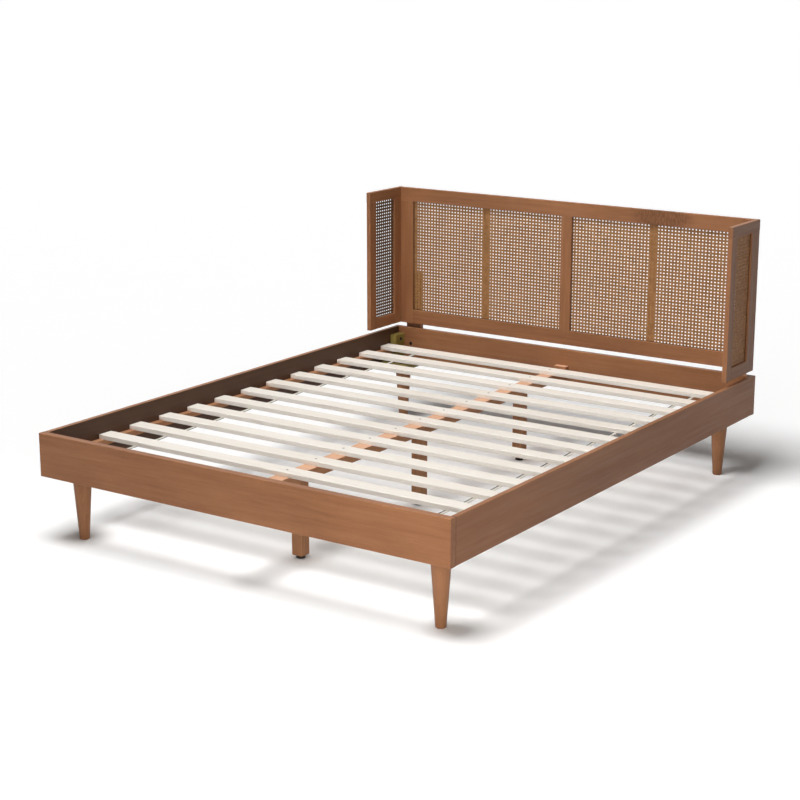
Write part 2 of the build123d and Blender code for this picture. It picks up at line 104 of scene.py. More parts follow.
class Graph:
    """Shader nodes of one material or world, with short calls for the common ones."""

    def __init__(self, name: str, world: Optional[bpy.types.World] = None) -> None:
        """Start with no nodes.

        Args:
            name: Name of the new material.
            world: World that the nodes are for, in place of a material.
        """
        self.owner = world or bpy.data.materials.new(name)
        self.owner.use_nodes = True
        self.tree = self.owner.node_tree
        self.tree.nodes.clear()

    def feed(self, socket: Socket, value: Value) -> None:
        """Link a socket to another, or set its plain value.

        Args:
            socket: Input to fill.
            value: Output to link from, or a number or numbers.
        """
        if isinstance(value, bpy.types.NodeSocket):
            self.tree.links.new(value, socket)
        elif isinstance(value, (int, float)):
            socket.default_value = value
        else:
            numbers = tuple(value)
            wanted = len(socket.default_value)
            socket.default_value = numbers if len(numbers) == wanted else numbers + (1.0,)

    def node(self, kind: str, inputs: Optional[Inputs] = None, **settings: object) -> bpy.types.Node:
        """Add a node.

        Args:
            kind: Type of the node, without its ShaderNode prefix.
            inputs: Value or link of each input, by name or number.
            settings: Attributes of the node.

        Returns:
            The new node.
        """
        made = self.tree.nodes.new(f"ShaderNode{kind}")
        for key, value in settings.items():
            setattr(made, key, value)
        for key, value in (inputs or {}).items():
            self.feed(made.inputs[key], value)
        return made

    def math(self, operation: str, first: Value, second: Value = 0.0) -> Socket:
        """Combine two numbers by the named operation."""
        return self.node("Math", {0: first, 1: second}, operation=operation).outputs[0]

    def vector(self, operation: str, first: Value, second: Value = (0.0, 0.0, 0.0)) -> Socket:
        """Combine two vectors by the named operation."""
        return self.node("VectorMath", {0: first, 1: second}, operation=operation).outputs[0]

    def length(self, vector: Socket) -> Socket:
        """Length of a vector."""
        return self.node("VectorMath", {0: vector}, operation="LENGTH").outputs["Value"]

    def place(self) -> Socket:
        """Object coordinates, in metres."""
        return self.node("TexCoord").outputs["Object"]

    def part(self, vector: Socket, axis: int) -> Socket:
        """Part of a vector along one axis."""
        return self.node("SeparateXYZ", {0: vector}).outputs[axis]

    def normal_part(self, axis: int) -> Socket:
        """Part of the surface's normal along one axis."""
        return self.part(self.node("NewGeometry").outputs["Normal"], axis)

    def off_centre(self, place: Socket, axis: int, middle: float) -> Socket:
        """Distance along one axis from a middle, to either side."""
        return self.math("ABSOLUTE", self.math("SUBTRACT", self.part(place, axis), middle))

    def seen_directly(self) -> Socket:
        """Tell the rays that meet the eye from those that only carry light.

        Returns:
            A factor that is 1 for camera, glossy and transmission rays.
        """
        path = self.node("LightPath").outputs
        either = self.math("MAXIMUM", path["Is Camera Ray"], path["Is Glossy Ray"])
        return self.math("MAXIMUM", either, path["Is Transmission Ray"])

    def noise(
        self, place: Socket, stretch: Union[float, Sequence[float]], detail: float = 2.0, rough: float = 0.5
    ) -> Socket:
        """Noise with one frequency, or with its own along each axis.

        Args:
            place: Coordinates in metres.
            stretch: Cycles per metre, or those of each axis.
            detail: Octaves.
            rough: Share of the finer octaves.

        Returns:
            A number around 0.5.
        """
        steps = (stretch,) * 3 if isinstance(stretch, float) else stretch
        scaled = self.vector("MULTIPLY", place, steps)
        inputs: Inputs = {"Vector": scaled, "Scale": 1.0, "Detail": detail, "Roughness": rough}
        return self.node("TexNoise", inputs).outputs["Fac"]

    def span(
        self, value: Value, low: float, high: float, to_low: float = 0.0, to_high: float = 1.0
    ) -> Socket:
        """Map a range of numbers onto another, clamped and eased at both ends.

        Args:
            value: Number to map.
            low: Start of its range.
            high: End of its range.
            to_low: Result at the start.
            to_high: Result at the end.

        Returns:
            The mapped number.
        """
        inputs: Inputs = {0: value, 1: low, 2: high, 3: to_low, 4: to_high}
        return self.node("MapRange", inputs, interpolation_type="SMOOTHSTEP").outputs[0]

    def blend(self, factor: Value, first: Value, second: Value, mode: str = "MIX") -> Socket:
        """Mix two colours.

        Args:
            factor: Share of the second.
            first: First colour.
            second: Second colour.
            mode: Blend mode.

        Returns:
            The mixed colour.
        """
        made = self.node("Mix", data_type="RGBA", blend_type=mode)
        self.feed(made.inputs[0], factor)
        self.feed(made.inputs[6], first)
        self.feed(made.inputs[7], second)
        return made.outputs[2]

    def ramp(self, factor: Socket, stops: Sequence[tuple[float, Colour]]) -> Socket:
        """Colour ramp.

        Args:
            factor: Place on the ramp.
            stops: Place and colour of each stop, in order.

        Returns:
            The colour.
        """
        made = self.node("ValToRGB", {"Fac": factor})
        elements = made.color_ramp.elements
        while len(elements) < len(stops):
            elements.new(0.5)
        for element, (place, colour) in zip(elements, stops):
            element.position = place
            element.color = (*colour, 1.0)
        return made.outputs["Color"]

    def finish(self, shader: Socket) -> Union[bpy.types.Material, bpy.types.World]:
        """Close the graph.

        Args:
            shader: Output of the last shader.

        Returns:
            The material or world that the nodes are for.
        """
        output = "OutputWorld" if isinstance(self.owner, bpy.types.World) else "OutputMaterial"
        self.node(output, {"Surface": shader})
        return self.owner

    def skin(
        self, colour: Socket, roughness: Value, height: Socket, relief: tuple[float, float], **others: float
    ) -> bpy.types.Material:
        """Close the graph with a surface that has a fine relief.

        Args:
            colour: Base colour.
            roughness: Roughness.
            height: Height of the relief.
            relief: Strength of the relief, and its depth in metres.
            others: Other inputs of the shader, with _ for a space in their names.

        Returns:
            The material.
        """
        bump = self.node("Bump", {"Height": height, "Strength": relief[0], "Distance": relief[1]})
        inputs: Inputs = {"Base Color": colour, "Roughness": roughness, "Normal": bump.outputs[0]}
        inputs.update({name.replace("_", " "): value for name, value in others.items()})
        return self.finish(self.node("BsdfPrincipled", inputs).outputs[0])


# Finishes


@dataclass(frozen=True)
class Blemish:
    """Patch of wild, darker figure on a board."""

    centre: tuple[float, float, float]
    reach: tuple[float, float, float]


@dataclass(frozen=True)
class FaceTone:
    """Other tone on the face of a board that looks one way: mostly painted shade or painted highlight for how
    light falls on that face, sometimes a plain colour change.
    """

    towards: tuple[int, int]
    colour: Colour
    share: float

    def facing(self, axis: int, sign: int) -> "FaceTone":
        """The same tone on another face.

        Args:
            axis: Axis of the face's outward direction.
            sign: Sign of that direction.

        Returns:
            The new tone.
        """
        return FaceTone((axis, sign), self.colour, self.share)


@dataclass(frozen=True)
class Board:
    """What a wood finish needs to know about one timber."""

    name: str
    low: Vector
    high: Vector
    grain: Grain
    seed: int
    squared: bool = True
    blemish: Optional[Blemish] = None
    tones: tuple[FaceTone, ...] = ()
    seam: Optional[float] = None

    @property
    def across(self) -> tuple[int, int]:
        """The two axes across the grain."""
        first, second = [axis for axis in range(3) if axis != self.grain.index]
        return first, second


@dataclass(frozen=True)
class WoodFinish:
    """Sawn timber, with growth rings, streaks, fibres and pores under its finish."""

    name: str
    dark: Colour
    mid: Colour
    light: Colour
    ring_spacing: float = 4.2 * MM
    ring_strength: float = 0.06
    streak_strength: float = 0.34
    fibre_strength: float = 0.30
    cloud_strength: float = 0.62
    pore_strength: float = 0.30
    end_shade: float = 0.86
    # Lighter long edges: stain rubbed thin, plus a painted edge highlight.
    edge_wear: float = 0.30
    roughness: float = 0.50
    coat: float = 0.04
    gloss: float = 0.22
    relief: float = 0.30
    pith_distance: float = 0.11

    def material(self, board: Board) -> bpy.types.Material:
        """Material of one timber."""
        return Timber(self, board).material()


class Timber(Graph):
    """Shader nodes of one timber."""

    def __init__(self, finish: WoodFinish, board: Board) -> None:
        """Start the timber's material.

        Args:
            finish: Wood and stain.
            board: The timber.
        """
        super().__init__(f"{finish.name}_{board.name}")
        self.wood = finish
        self.board = board
        self.chance = random.Random(board.seed)
        self.shift = [self.chance.uniform(-3.0, 3.0) for _ in range(3)]
        self.coordinates = self.place()
        self.grain = self.node(
            "Mapping", {"Vector": self.coordinates, "Rotation": board.grain.turn, "Location": self.shift}
        ).outputs[0]

    def darker(self, share: float) -> Colour:
        """The wood's dark tone, multiplied by a share."""
        return tuple(share * part for part in self.wood.dark)

    def fibres_place(self) -> Socket:
        """Coordinates with the grain along X, bent a little from side to side.

        Returns:
            The coordinates.
        """
        wander = self.node("TexNoise", {
            "Vector": self.vector("MULTIPLY", self.grain, (1.1, 7.0, 7.0)), "Scale": 1.0, "Detail": 1.0,
        }).outputs["Color"]
        centred = self.vector("SUBTRACT", wander, (0.5, 0.5, 0.5))
        return self.vector("ADD", self.grain, self.vector("MULTIPLY", centred, (0.0, 0.03, 0.03)))

    def material(self) -> bpy.types.Material:
        """Make the material.

        Returns:
            The material.
        """
        wood, board = self.wood, self.board
        place = self.fibres_place()
        ring = self.rings(place)
        streak = self.noise(place, (2.6, 75.0, 75.0), 4.0, 0.62)
        fibre = self.noise(place, (16.0, 900.0, 900.0), 2.0, 0.6)
        cloud = self.noise(self.grain, (1.9, 6.5, 6.5), 3.0, 0.55)
        pore = self.span(self.noise(place, (45.0, 1500.0, 1500.0), 1.0), 0.63, 0.72)

        tone: Value = self.chance.uniform(0.45, 0.55)
        for part, strength in (
            (ring, wood.ring_strength),
            (streak, wood.streak_strength),
            (fibre, wood.fibre_strength),
            (cloud, wood.cloud_strength),
        ):
            tone = self.math("ADD", tone, self.math("MULTIPLY", self.math("SUBTRACT", part, 0.5), strength))
        colour = self.ramp(tone, ((0.22, wood.dark), (0.5, wood.mid), (0.80, wood.light)))
        colour = self.blend(self.math("MULTIPLY", pore, wood.pore_strength), colour, self.darker(0.45))
        colour = self.end_grain(colour)
        # Lighter long edges, partly wear and partly a painted highlight.
        if board.squared:
            colour = self.worn_edges(colour, cloud)
        if board.blemish:
            colour = self.blemished(colour, board.blemish)
        for tone_on_face in board.tones:
            colour = self.toned(colour, tone_on_face)
        if board.seam is not None:
            colour = self.seamed(colour, board.seam)

        height = self.math("ADD", self.math("MULTIPLY", fibre, 0.6), self.math("MULTIPLY", ring, 0.25))
        height = self.math("SUBTRACT", height, pore)
        shine = self.span(streak, 0.25, 0.75, wood.roughness + 0.07, wood.roughness - 0.07)
        return self.skin(
            colour, shine, height, (wood.relief, 0.4 * MM),
            Specular_IOR_Level=wood.gloss, Coat_Weight=wood.coat, Coat_Roughness=0.32,
        )

    def rings(self, place: Socket) -> Socket:
        """Growth rings about a pith that lies beside the board.

        Args:
            place: Coordinates with the grain along X.

        Returns:
            A number from 0 to 1 that runs slowly up and falls fast in each ring.
        """
        middle = (self.board.low + self.board.high) / 2
        turn = self.board.grain.turn
        middle.rotate(Matrix.Rotation(turn[2], 3, "Z") @ Matrix.Rotation(turn[1], 3, "Y"))
        angle = self.chance.uniform(0.0, 2.0 * math.pi)
        reach = self.wood.pith_distance
        pith = (
            0.0,
            middle[1] + self.shift[1] + reach * math.cos(angle),
            middle[2] + self.shift[2] + reach * math.sin(angle),
        )
        offset = self.vector("MULTIPLY", self.vector("SUBTRACT", place, pith), (0.0, 1.0, 1.0))
        count = self.math("DIVIDE", self.length(offset), self.wood.ring_spacing)
        uneven = self.noise(place, (0.9, 9.0, 9.0), 2.0)
        phase = self.math("FRACT", self.math("ADD", count, self.math("MULTIPLY", uneven, 5.0)))
        return self.math("SUBTRACT", phase, self.math("MULTIPLY", self.span(phase, 0.78, 1.0), phase))

    def end_grain(self, colour: Socket) -> Socket:
        """Darken the faces where the fibres are cut across.

        Args:
            colour: Colour so far.

        Returns:
            The colour with darker ends.
        """
        facing = self.span(self.math("ABSOLUTE", self.normal_part(self.board.grain.index)), 0.75, 0.95)
        shade = (self.wood.end_shade,) * 3
        return self.blend(facing, colour, self.blend(1.0, colour, shade, "MULTIPLY"))

    def worn_edges(self, colour: Socket, cloud: Socket) -> Socket:
        """Lighten the long edges, where the stain is rubbed thin, with a painted edge highlight on top.

        Args:
            colour: Colour so far.
            cloud: Slow noise that breaks up the wear and the painted highlight.

        Returns:
            The colour with lighter edges.
        """
        gaps = []
        for axis in self.board.across:
            low, high = self.board.low[axis], self.board.high[axis]
            away = self.off_centre(self.coordinates, axis, (low + high) / 2)
            gaps.append(self.math("SUBTRACT", (high - low) / 2, away))
        wear_and_highlight = self.span(self.math("MAXIMUM", gaps[0], gaps[1]), 0.4 * MM, 2.6 * MM, 1.0, 0.0)
        uneven = self.span(cloud, 0.35, 0.65, 0.4, 1.0)
        amount = self.math("MULTIPLY", self.math("MULTIPLY", wear_and_highlight, uneven), self.wood.edge_wear)
        return self.blend(amount, colour, tuple(min(1.0, 1.35 * part) for part in self.wood.light))

    def blemished(self, colour: Socket, spot: Blemish) -> Socket:
        """Lay a patch of darker, rippled figure over the wood.

        Args:
            colour: Colour so far.
            spot: Place and reach of the patch.

        Returns:
            The colour with the patch.
        """
        local = self.vector("DIVIDE", self.vector("SUBTRACT", self.coordinates, spot.centre), spot.reach)
        inside = self.span(self.length(local), 0.55, 1.05, 1.0, 0.0)
        mottle = self.span(self.noise(self.coordinates, (190.0, 40.0, 55.0), 3.0, 0.6), 0.36, 0.62)
        amount = self.math("MULTIPLY", inside, self.math("ADD", self.math("MULTIPLY", mottle, 0.45), 0.28))
        return self.blend(amount, colour, self.darker(0.55))

    def toned(self, colour: Socket, tone: FaceTone) -> Socket:
        """Lay another tone over the face that looks one way.

        Args:
            colour: Colour so far.
            tone: Face, colour and strength of the other tone.

        Returns:
            The colour with that face changed.
        """
        axis, sign = tone.towards
        along = self.math("MULTIPLY", self.normal_part(axis), float(sign))
        return self.blend(self.span(along, 0.6, 0.9, 0.0, tone.share), colour, tone.colour)

    def seamed(self, colour: Socket, seam: float) -> Socket:
        """Darken the joint line where the board butts against another one.

        Args:
            colour: Colour so far.
            seam: Place of the line along the grain.

        Returns:
            The colour with the line.
        """
        distance = self.off_centre(self.coordinates, self.board.grain.index, seam)
        return self.blend(self.span(distance, 1.2 * MM, 3.2 * MM, 0.75, 0.0), colour, self.darker(0.25))


@dataclass(frozen=True)
class CaneFinish:
    """Split cane with a glossy skin, stained unevenly from strand to strand."""

    dark: Colour = (0.190, 0.090, 0.036)
    mid: Colour = (0.335, 0.165, 0.064)
    light: Colour = (0.455, 0.245, 0.105)
    roughness: float = 0.42

    groove: float = 7.5 * MM
    # Width of the band of painted shade along the panel's edges.
    border: float = 5.0 * MM

    def material(self, node: str) -> bpy.types.Material:
        """Make the material of one woven panel, with a band of painted shade along its edges where it enters
        the groove of its frame.

        Args:
            node: CAD node of the panel.

        Returns:
            Its material.
        """
        graph = Graph(f"cane_{node}")
        place = graph.place()
        tint = graph.node("Attribute", attribute_name=CaneWeave.TINT).outputs["Fac"]
        mottle = graph.noise(place, 55.0, 3.0, 0.6)
        speck = graph.noise(place, 900.0, 2.0)
        tone = graph.math("ADD", graph.math("MULTIPLY", tint, 0.5), graph.math("MULTIPLY", mottle, 0.55))
        tone = graph.math("ADD", tone, graph.math("MULTIPLY", graph.math("SUBTRACT", speck, 0.5), 0.25))
        colour = graph.ramp(tone, ((0.2, self.dark), (0.52, self.mid), (0.85, self.light)))
        low, high = node_box(node)
        wide = 0 if high.x - low.x > high.y - low.y else 1
        # Painted shade along the panel's edges, where the frame's recess shades the cane.
        edges = []
        for axis in (wide, 2):
            away = graph.off_centre(place, axis, (low[axis] + high[axis]) / 2)
            rim = (high[axis] - low[axis]) / 2 - self.groove
            edges.append(graph.span(away, rim - self.border, rim, 0.0, 0.85))
        rim_shade = graph.math("MAXIMUM", edges[0], edges[1])
        colour = graph.blend(rim_shade, colour, tuple(0.25 * part for part in self.dark))
        shine = graph.span(mottle, 0.3, 0.7, self.roughness + 0.08, self.roughness - 0.08)
        return graph.skin(colour, shine, speck, (0.25, 0.1 * MM), Specular_IOR_Level=0.15)


@dataclass(frozen=True)
class RibbonFinish:
    """Off-white woven ribbon with a dark band along its edges, each band of its own width."""

    body: Colour = (0.70, 0.66, 0.58)
    edge: Colour = (0.035, 0.033, 0.032)
    left_edge: float = 1.8 * MM
    right_edge: float = 1.8 * MM
    thread: float = 1.1 * MM
    fade: float = 0.15 * MM

    def material(self, name: str, middle: float, width: float) -> bpy.types.Material:
        """Make the material of one ribbon that runs along Y.

        Args:
            name: Name of the ribbon.
            middle: Place of its centre line on X.
            width: Its width.

        Returns:
            Its material.
        """
        graph = Graph(f"ribbon_{name}")
        place = graph.place()
        across = graph.part(place, 0)
        off_centre = graph.math("SUBTRACT", across, middle)
        left = self.left_edge - width / 2
        right = width / 2 - self.right_edge
        edge = graph.math(
            "MAXIMUM",
            graph.span(off_centre, left - self.fade, left + self.fade, 1.0, 0.0),
            graph.span(off_centre, right - self.fade, right + self.fade),
        )
        turns = 2.0 * math.pi / self.thread
        warp = graph.math("SINE", graph.math("MULTIPLY", across, turns))
        weft = graph.math("SINE", graph.math("MULTIPLY", graph.part(place, 1), turns))
        weave = graph.math("MULTIPLY", warp, weft)
        height = graph.math("ADD", graph.math("MULTIPLY", weave, 0.5), graph.noise(place, 700.0, 2.0))
        # Colour follows the relief: painted shade in the weave's low points, plus random tone from the noise.
        shade = graph.span(height, -0.2, 1.1, 0.78, 1.06)
        plain = graph.blend(edge, self.body, self.edge)
        painted_weave_shade = graph.node("CombineXYZ", {0: shade, 1: shade, 2: shade}).outputs[0]
        colour = graph.blend(1.0, plain, painted_weave_shade, "MULTIPLY")
        return graph.skin(colour, 0.85, height, (0.5, 0.3 * MM), Specular_IOR_Level=0.25)


@dataclass(frozen=True)
class MetalFinish:
    """Plated or blackened steel, with fine scratches and rubbed spots."""

    name: str
    body: Colour
    rubbed: Colour
    metallic: float
    roughness: float

    def material(self) -> bpy.types.Material:
        """Make the material.

        Returns:
            The material.
        """
        graph = Graph(self.name)
        place = graph.place()
        scratch = graph.noise(place, (300.0, 2600.0, 2600.0), 2.0)
        rub = graph.span(graph.noise(place, 160.0, 3.0, 0.6), 0.52, 0.74)
        colour = graph.blend(rub, self.body, self.rubbed)
        shine = graph.span(scratch, 0.3, 0.7, self.roughness - 0.08, self.roughness + 0.10)
        return graph.skin(colour, shine, scratch, (0.2, 0.05 * MM), Metallic=self.metallic)


@dataclass(frozen=True)
class PlasticFinish:
    """Moulded plastic with a fine spark-eroded grain and dust near the floor."""

    name: str
    body: Colour
    dust: Colour
    roughness: float = 0.5

    def material(self) -> bpy.types.Material:
        """Make the material.

        Returns:
            The material.
        """
        graph = Graph(self.name)
        place = graph.place()
        pebbles = graph.noise(place, 1400.0, 2.0)
        cloud = graph.noise(place, 120.0, 3.0)
        low = graph.span(graph.part(place, 2), 0.0, 6.0 * MM, 1.0, 0.0)
        dusty = graph.math("MULTIPLY", graph.math("MULTIPLY", low, cloud), 0.5)
        colour = graph.blend(dusty, self.body, self.dust)
        shine = graph.span(cloud, 0.3, 0.7, self.roughness - 0.06, self.roughness + 0.08)
        return graph.skin(colour, shine, pebbles, (0.3, 0.08 * MM))


WALNUT_STAIN = WoodFinish("walnut_stain", (0.200, 0.080, 0.034), (0.310, 0.133, 0.058), (0.410, 0.188, 0.088))
WALNUT_LEGS = WoodFinish("walnut_leg", (0.210, 0.086, 0.037), (0.330, 0.146, 0.066), (0.440, 0.208, 0.100))
SUPPORT_WOOD = WoodFinish(
    "support_wood", (0.300, 0.130, 0.058), (0.430, 0.205, 0.098), (0.540, 0.290, 0.155),
    edge_wear=0.2, roughness=0.6, coat=0.0,
)
BLOCK_WOOD = WoodFinish(
    "block_wood", (0.150, 0.110, 0.022), (0.260, 0.195, 0.048), (0.380, 0.290, 0.095),
    edge_wear=0.2, roughness=0.65, coat=0.0,
)
SLAT_WOOD = WoodFinish(
    "slat_wood", (0.750, 0.675, 0.590), (0.850, 0.795, 0.720), (0.890, 0.855, 0.800),
    ring_spacing=5.5 * MM, ring_strength=0.20, fibre_strength=0.22, cloud_strength=0.45,
    pore_strength=0.10, end_shade=0.93, edge_wear=0.1, roughness=0.62, coat=0.0, relief=0.25,
)
# Painted highlight on the top faces of the centre beam and its end blocks.
TOP_PAINTED_HIGHLIGHT = FaceTone((2, 1), (0.90, 0.56, 0.38), 0.55)
# Painted shade on the side rails' inner faces.
RAIL_INSIDE_PAINTED_SHADE = FaceTone((0, 0), (0.050, 0.028, 0.018), 0.86)
# Painted shade on the side rails' outer faces.
SIDE_OUTSIDE_PAINTED_SHADE = FaceTone((0, 0), (0.200, 0.082, 0.034), 0.30)
MULLION_FACE = FaceTone((1, -1), (0.420, 0.150, 0.045), 0.60)
# Painted shade on the outer faces of the wing frames.
WING_OUTSIDE_PAINTED_SHADE = FaceTone((0, 0), (0.120, 0.058, 0.038), 0.50)
PLATE_TOP = FaceTone((2, 1), (0.035, 0.026, 0.012), 0.85)
# Painted shade on the front faces of the headboard posts and battens.
POST_FRONT_PAINTED_SHADE = FaceTone((1, -1), (0.10, 0.042, 0.018), 0.75)
CANE = CaneFinish()
# Darker copy of the cane: painted shade for the left wing, whose cane faces away from the key light.
PAINTED_SHADE_CANE = CaneFinish((0.060, 0.030, 0.015), (0.120, 0.062, 0.032), (0.210, 0.120, 0.070))
RIBBONS = {Side.LEFT: RibbonFinish(), Side.RIGHT: RibbonFinish(left_edge=5.0 * MM, right_edge=0.0)}
BLACK_STEEL = MetalFinish("black_steel", (0.022, 0.022, 0.023), (0.10, 0.10, 0.10), 0.75, 0.42)
ZINC_STEEL = MetalFinish("zinc_steel", (0.11, 0.11, 0.115), (0.32, 0.32, 0.32), 0.9, 0.38)
BLACK_PLASTIC = PlasticFinish("black_plastic", (0.018, 0.018, 0.018), (0.12, 0.11, 0.10))


# Shared helpers for meshes and nodes


def node_box(node: str) -> tuple[Vector, Vector]:
    """Lowest and highest corner of a CAD node.

    Args:
        node: Name of the node.

    Returns:
        Both corners.
    """
    low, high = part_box(node)
    return Vector(low), Vector(high)


def centre_of(node: str) -> Vector:
    """Middle of a CAD node's box."""
    low, high = node_box(node)
    return Vector([(low[axis] + high[axis]) / 2 for axis in range(3)])


def dress(obj: bpy.types.Object, material: bpy.types.Material) -> None:
    """Give an object one material in all its slots.

    Args:
        obj: Object to dress.
        material: Its material.
    """
    if not obj.material_slots:
        obj.data.materials.append(material)
    for slot in obj.material_slots:
        slot.material = material


def dress_board(
    node: str,
    finish: WoodFinish,
    grain: Grain,
    squared: bool = True,
    blemish: Optional[Blemish] = None,
    tones: tuple[FaceTone, ...] = (),
    seam: Optional[float] = None,
) -> None:
    """Give a CAD timber its wood.

    Args:
        node: Name of the node.
        finish: Wood and stain.
        grain: Axis of the fibres.
        squared: Whether it has long straight edges that get lighter, by wear and a painted highlight.
        blemish: Patch of wild figure.
        tones: Other tones on some of its faces.
        seam: Place along the grain of a dark joint line.
    """
    low, high = node_box(node)
    seed = sum((place + 1) * ord(letter) for place, letter in enumerate(node))
    board = Board(node, low, high, grain, seed, squared, blemish, tones, seam)
    dress(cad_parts[node], finish.material(board))
    log.info("dressed %s", node)


def as_piece(
    name: str, bm: bmesh.types.BMesh, material: bpy.types.Material, replaced: Sequence[str] = ()
) -> bpy.types.Object:
    """Turn a bmesh into a finished piece that rides on the bed.

    Args:
        name: Name of the piece.
        bm: Its mesh, in place.
        material: Its material.
        replaced: CAD nodes that it stands for.

    Returns:
        The new object.
    """
    mesh = bpy.data.meshes.new(name)
    bm.to_mesh(mesh)
    bm.free()
    obj = bpy.data.objects.new(name, mesh)
    bpy.context.scene.collection.objects.link(obj)
    dress(obj, material)
    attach(obj, ROOT)
    if replaced:
        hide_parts(*replaced)
    log.info("made %s with %d faces", name, len(mesh.polygons))
    return obj


def circle(
    bm: bmesh.types.BMesh, radius: float, height: float, sides: int, capped: bool = False
) -> list[bmesh.types.BMEdge]:
    """Add a level ring of edges.

    Args:
        bm: Mesh to add to.
        radius: Its radius.
        height: Its height on Z.
        sides: Number of edges.
        capped: Whether it is filled.

    Returns:
        The ring's edges.
    """
    place = Matrix.Translation((0.0, 0.0, height))
    made = bmesh.ops.create_circle(bm, cap_ends=capped, segments=sides, radius=radius, matrix=place)
    ring = set(made["verts"])
    return [edge for edge in bm.edges if edge.verts[0] in ring and edge.verts[1] in ring]


def stack_rings(
    bm: bmesh.types.BMesh, rings: Sequence[tuple[float, float]], sides: int, closed: bool = True
) -> None:
    """Join level rings, given from the bottom up, into a turned shape.

    Args:
        bm: Mesh to add to.
        rings: Radius and height of each ring.
        sides: Number of sides of each ring.
        closed: Whether both ends are capped.
    """
    last = len(rings) - 1
    loops = []
    for place, (radius, height) in enumerate(rings):
        loops.append(circle(bm, radius, height, sides, closed and place in (0, last)))
    for lower, upper in zip(loops, loops[1:]):
        bmesh.ops.bridge_loops(bm, edges=lower + upper)


def copied(source: bmesh.types.BMesh, places: Sequence[Matrix]) -> bmesh.types.BMesh:
    """Repeat a mesh at several places.

    Args:
        source: Mesh to repeat; it is freed.
        places: Transform of each copy.

    Returns:
        One mesh that holds all the copies, with outward faces.
    """
    bmesh.ops.recalc_face_normals(source, faces=source.faces)
    template = bpy.data.meshes.new("template")
    source.to_mesh(template)
    source.free()
    result = bmesh.new()
    for place in places:
        copy = template.copy()
        copy.transform(place)
        result.from_mesh(copy)
        bpy.data.meshes.remove(copy)
    bpy.data.meshes.remove(template)
    return result


def join(target: bmesh.types.BMesh, source: bmesh.types.BMesh) -> None:
    """Add a mesh to another one.

    Args:
        target: Mesh that grows.
        source: Mesh to add; it is freed.
    """
    mesh = bpy.data.meshes.new("joined")
    source.to_mesh(mesh)
    source.free()
    target.from_mesh(mesh)
    bpy.data.meshes.remove(mesh)


def draw_out(
    bm: bmesh.types.BMesh, edges: Sequence[bmesh.types.BMEdge], move: Sequence[float]
) -> list[bmesh.types.BMEdge]:
    """Extrude edges and move the new ones.

    Args:
        bm: Mesh that they are in.
        edges: Edges to extrude.
        move: Distance along each axis.

    Returns:
        The new edges that lie opposite the old ones.
    """
    grown = bmesh.ops.extrude_edge_only(bm, edges=edges)["geom"]
    moved = [part for part in grown if isinstance(part, bmesh.types.BMVert)]
    bmesh.ops.translate(bm, verts=moved, vec=move)
    ends = set(moved)
    return [part for part in grown if isinstance(part, bmesh.types.BMEdge) and ends.issuperset(part.verts)]


def pointing(place: Sequence[float], direction: Sequence[float]) -> Matrix:
    """Transform that sets a shape's origin at a place and turns its +Z towards a direction.

    Args:
        place: New origin.
        direction: New direction of +Z.

    Returns:
        The transform.
    """
    turn = Vector((0.0, 0.0, 1.0)).rotation_difference(Vector(direction)).to_matrix().to_4x4()
    return Matrix.Translation(Vector(place)) @ turn


# Rails, legs and corners


@dataclass
class RailFrame:
    """The four rails round the well, with the ledges that carry the slats."""

    def dress(self) -> None:
        """Give the rails and the ledges their wood."""
        dress_board("foot_rail", WALNUT_STAIN, Grain.ALONG_X)
        dress_board("head_rail", WALNUT_STAIN, Grain.ALONG_X)
        for side in Side:
            # Side rails: painted shade on the inner faces and lighter painted shade on the outer faces; the
            # seam is a dark joint line.
            tones = (RAIL_INSIDE_PAINTED_SHADE.facing(0, -side.sign), SIDE_OUTSIDE_PAINTED_SHADE.facing(0, side.sign))
            rail = f"side_rail_{side.label}"
            dress_board(rail, WALNUT_STAIN, Grain.ALONG_Y, tones=tones, seam=node_box(rail)[0].y)
            dress_board(f"slat_ledge_{side.label}", SUPPORT_WOOD, Grain.ALONG_Y)


@dataclass
class Fastener:
    """A bolt or a screw with a driven head, its seat on z = 0 and its shank down -Z."""

    head_radius: float
    head_height: float
    shank_radius: float
    shank_length: float
    socket_radius: float
    socket_depth: float
    socket_sides: int = 6
    sides: int = 24
    ease_share: float = 0.15

    def build(self) -> bmesh.types.BMesh:
        """Model the fastener.

        Returns:
            Its mesh.
        """
        bm = bmesh.new()
        ease = self.ease_share * self.head_height
        stack_rings(bm, (
            (self.shank_radius, -self.shank_length),
            (self.shank_radius, 0.0),
            (self.head_radius, 0.0),
            (self.head_radius, self.head_height - ease),
            (self.head_radius - ease, self.head_height),
        ), self.sides, closed=False)
        tip = [edge for edge in bm.edges if edge.is_boundary and edge.verts[0].co.z < -self.shank_length / 2]
        bmesh.ops.holes_fill(bm, edges=tip, sides=self.sides)
        rim = [edge for edge in bm.edges if edge.is_boundary]
        mouth = circle(bm, self.socket_radius, self.head_height, self.socket_sides)
        bmesh.ops.bridge_loops(bm, edges=rim + mouth)
        floor = circle(bm, self.socket_radius, self.head_height - self.socket_depth, self.socket_sides, True)
        bmesh.ops.bridge_loops(bm, edges=mouth + floor)
        return bm


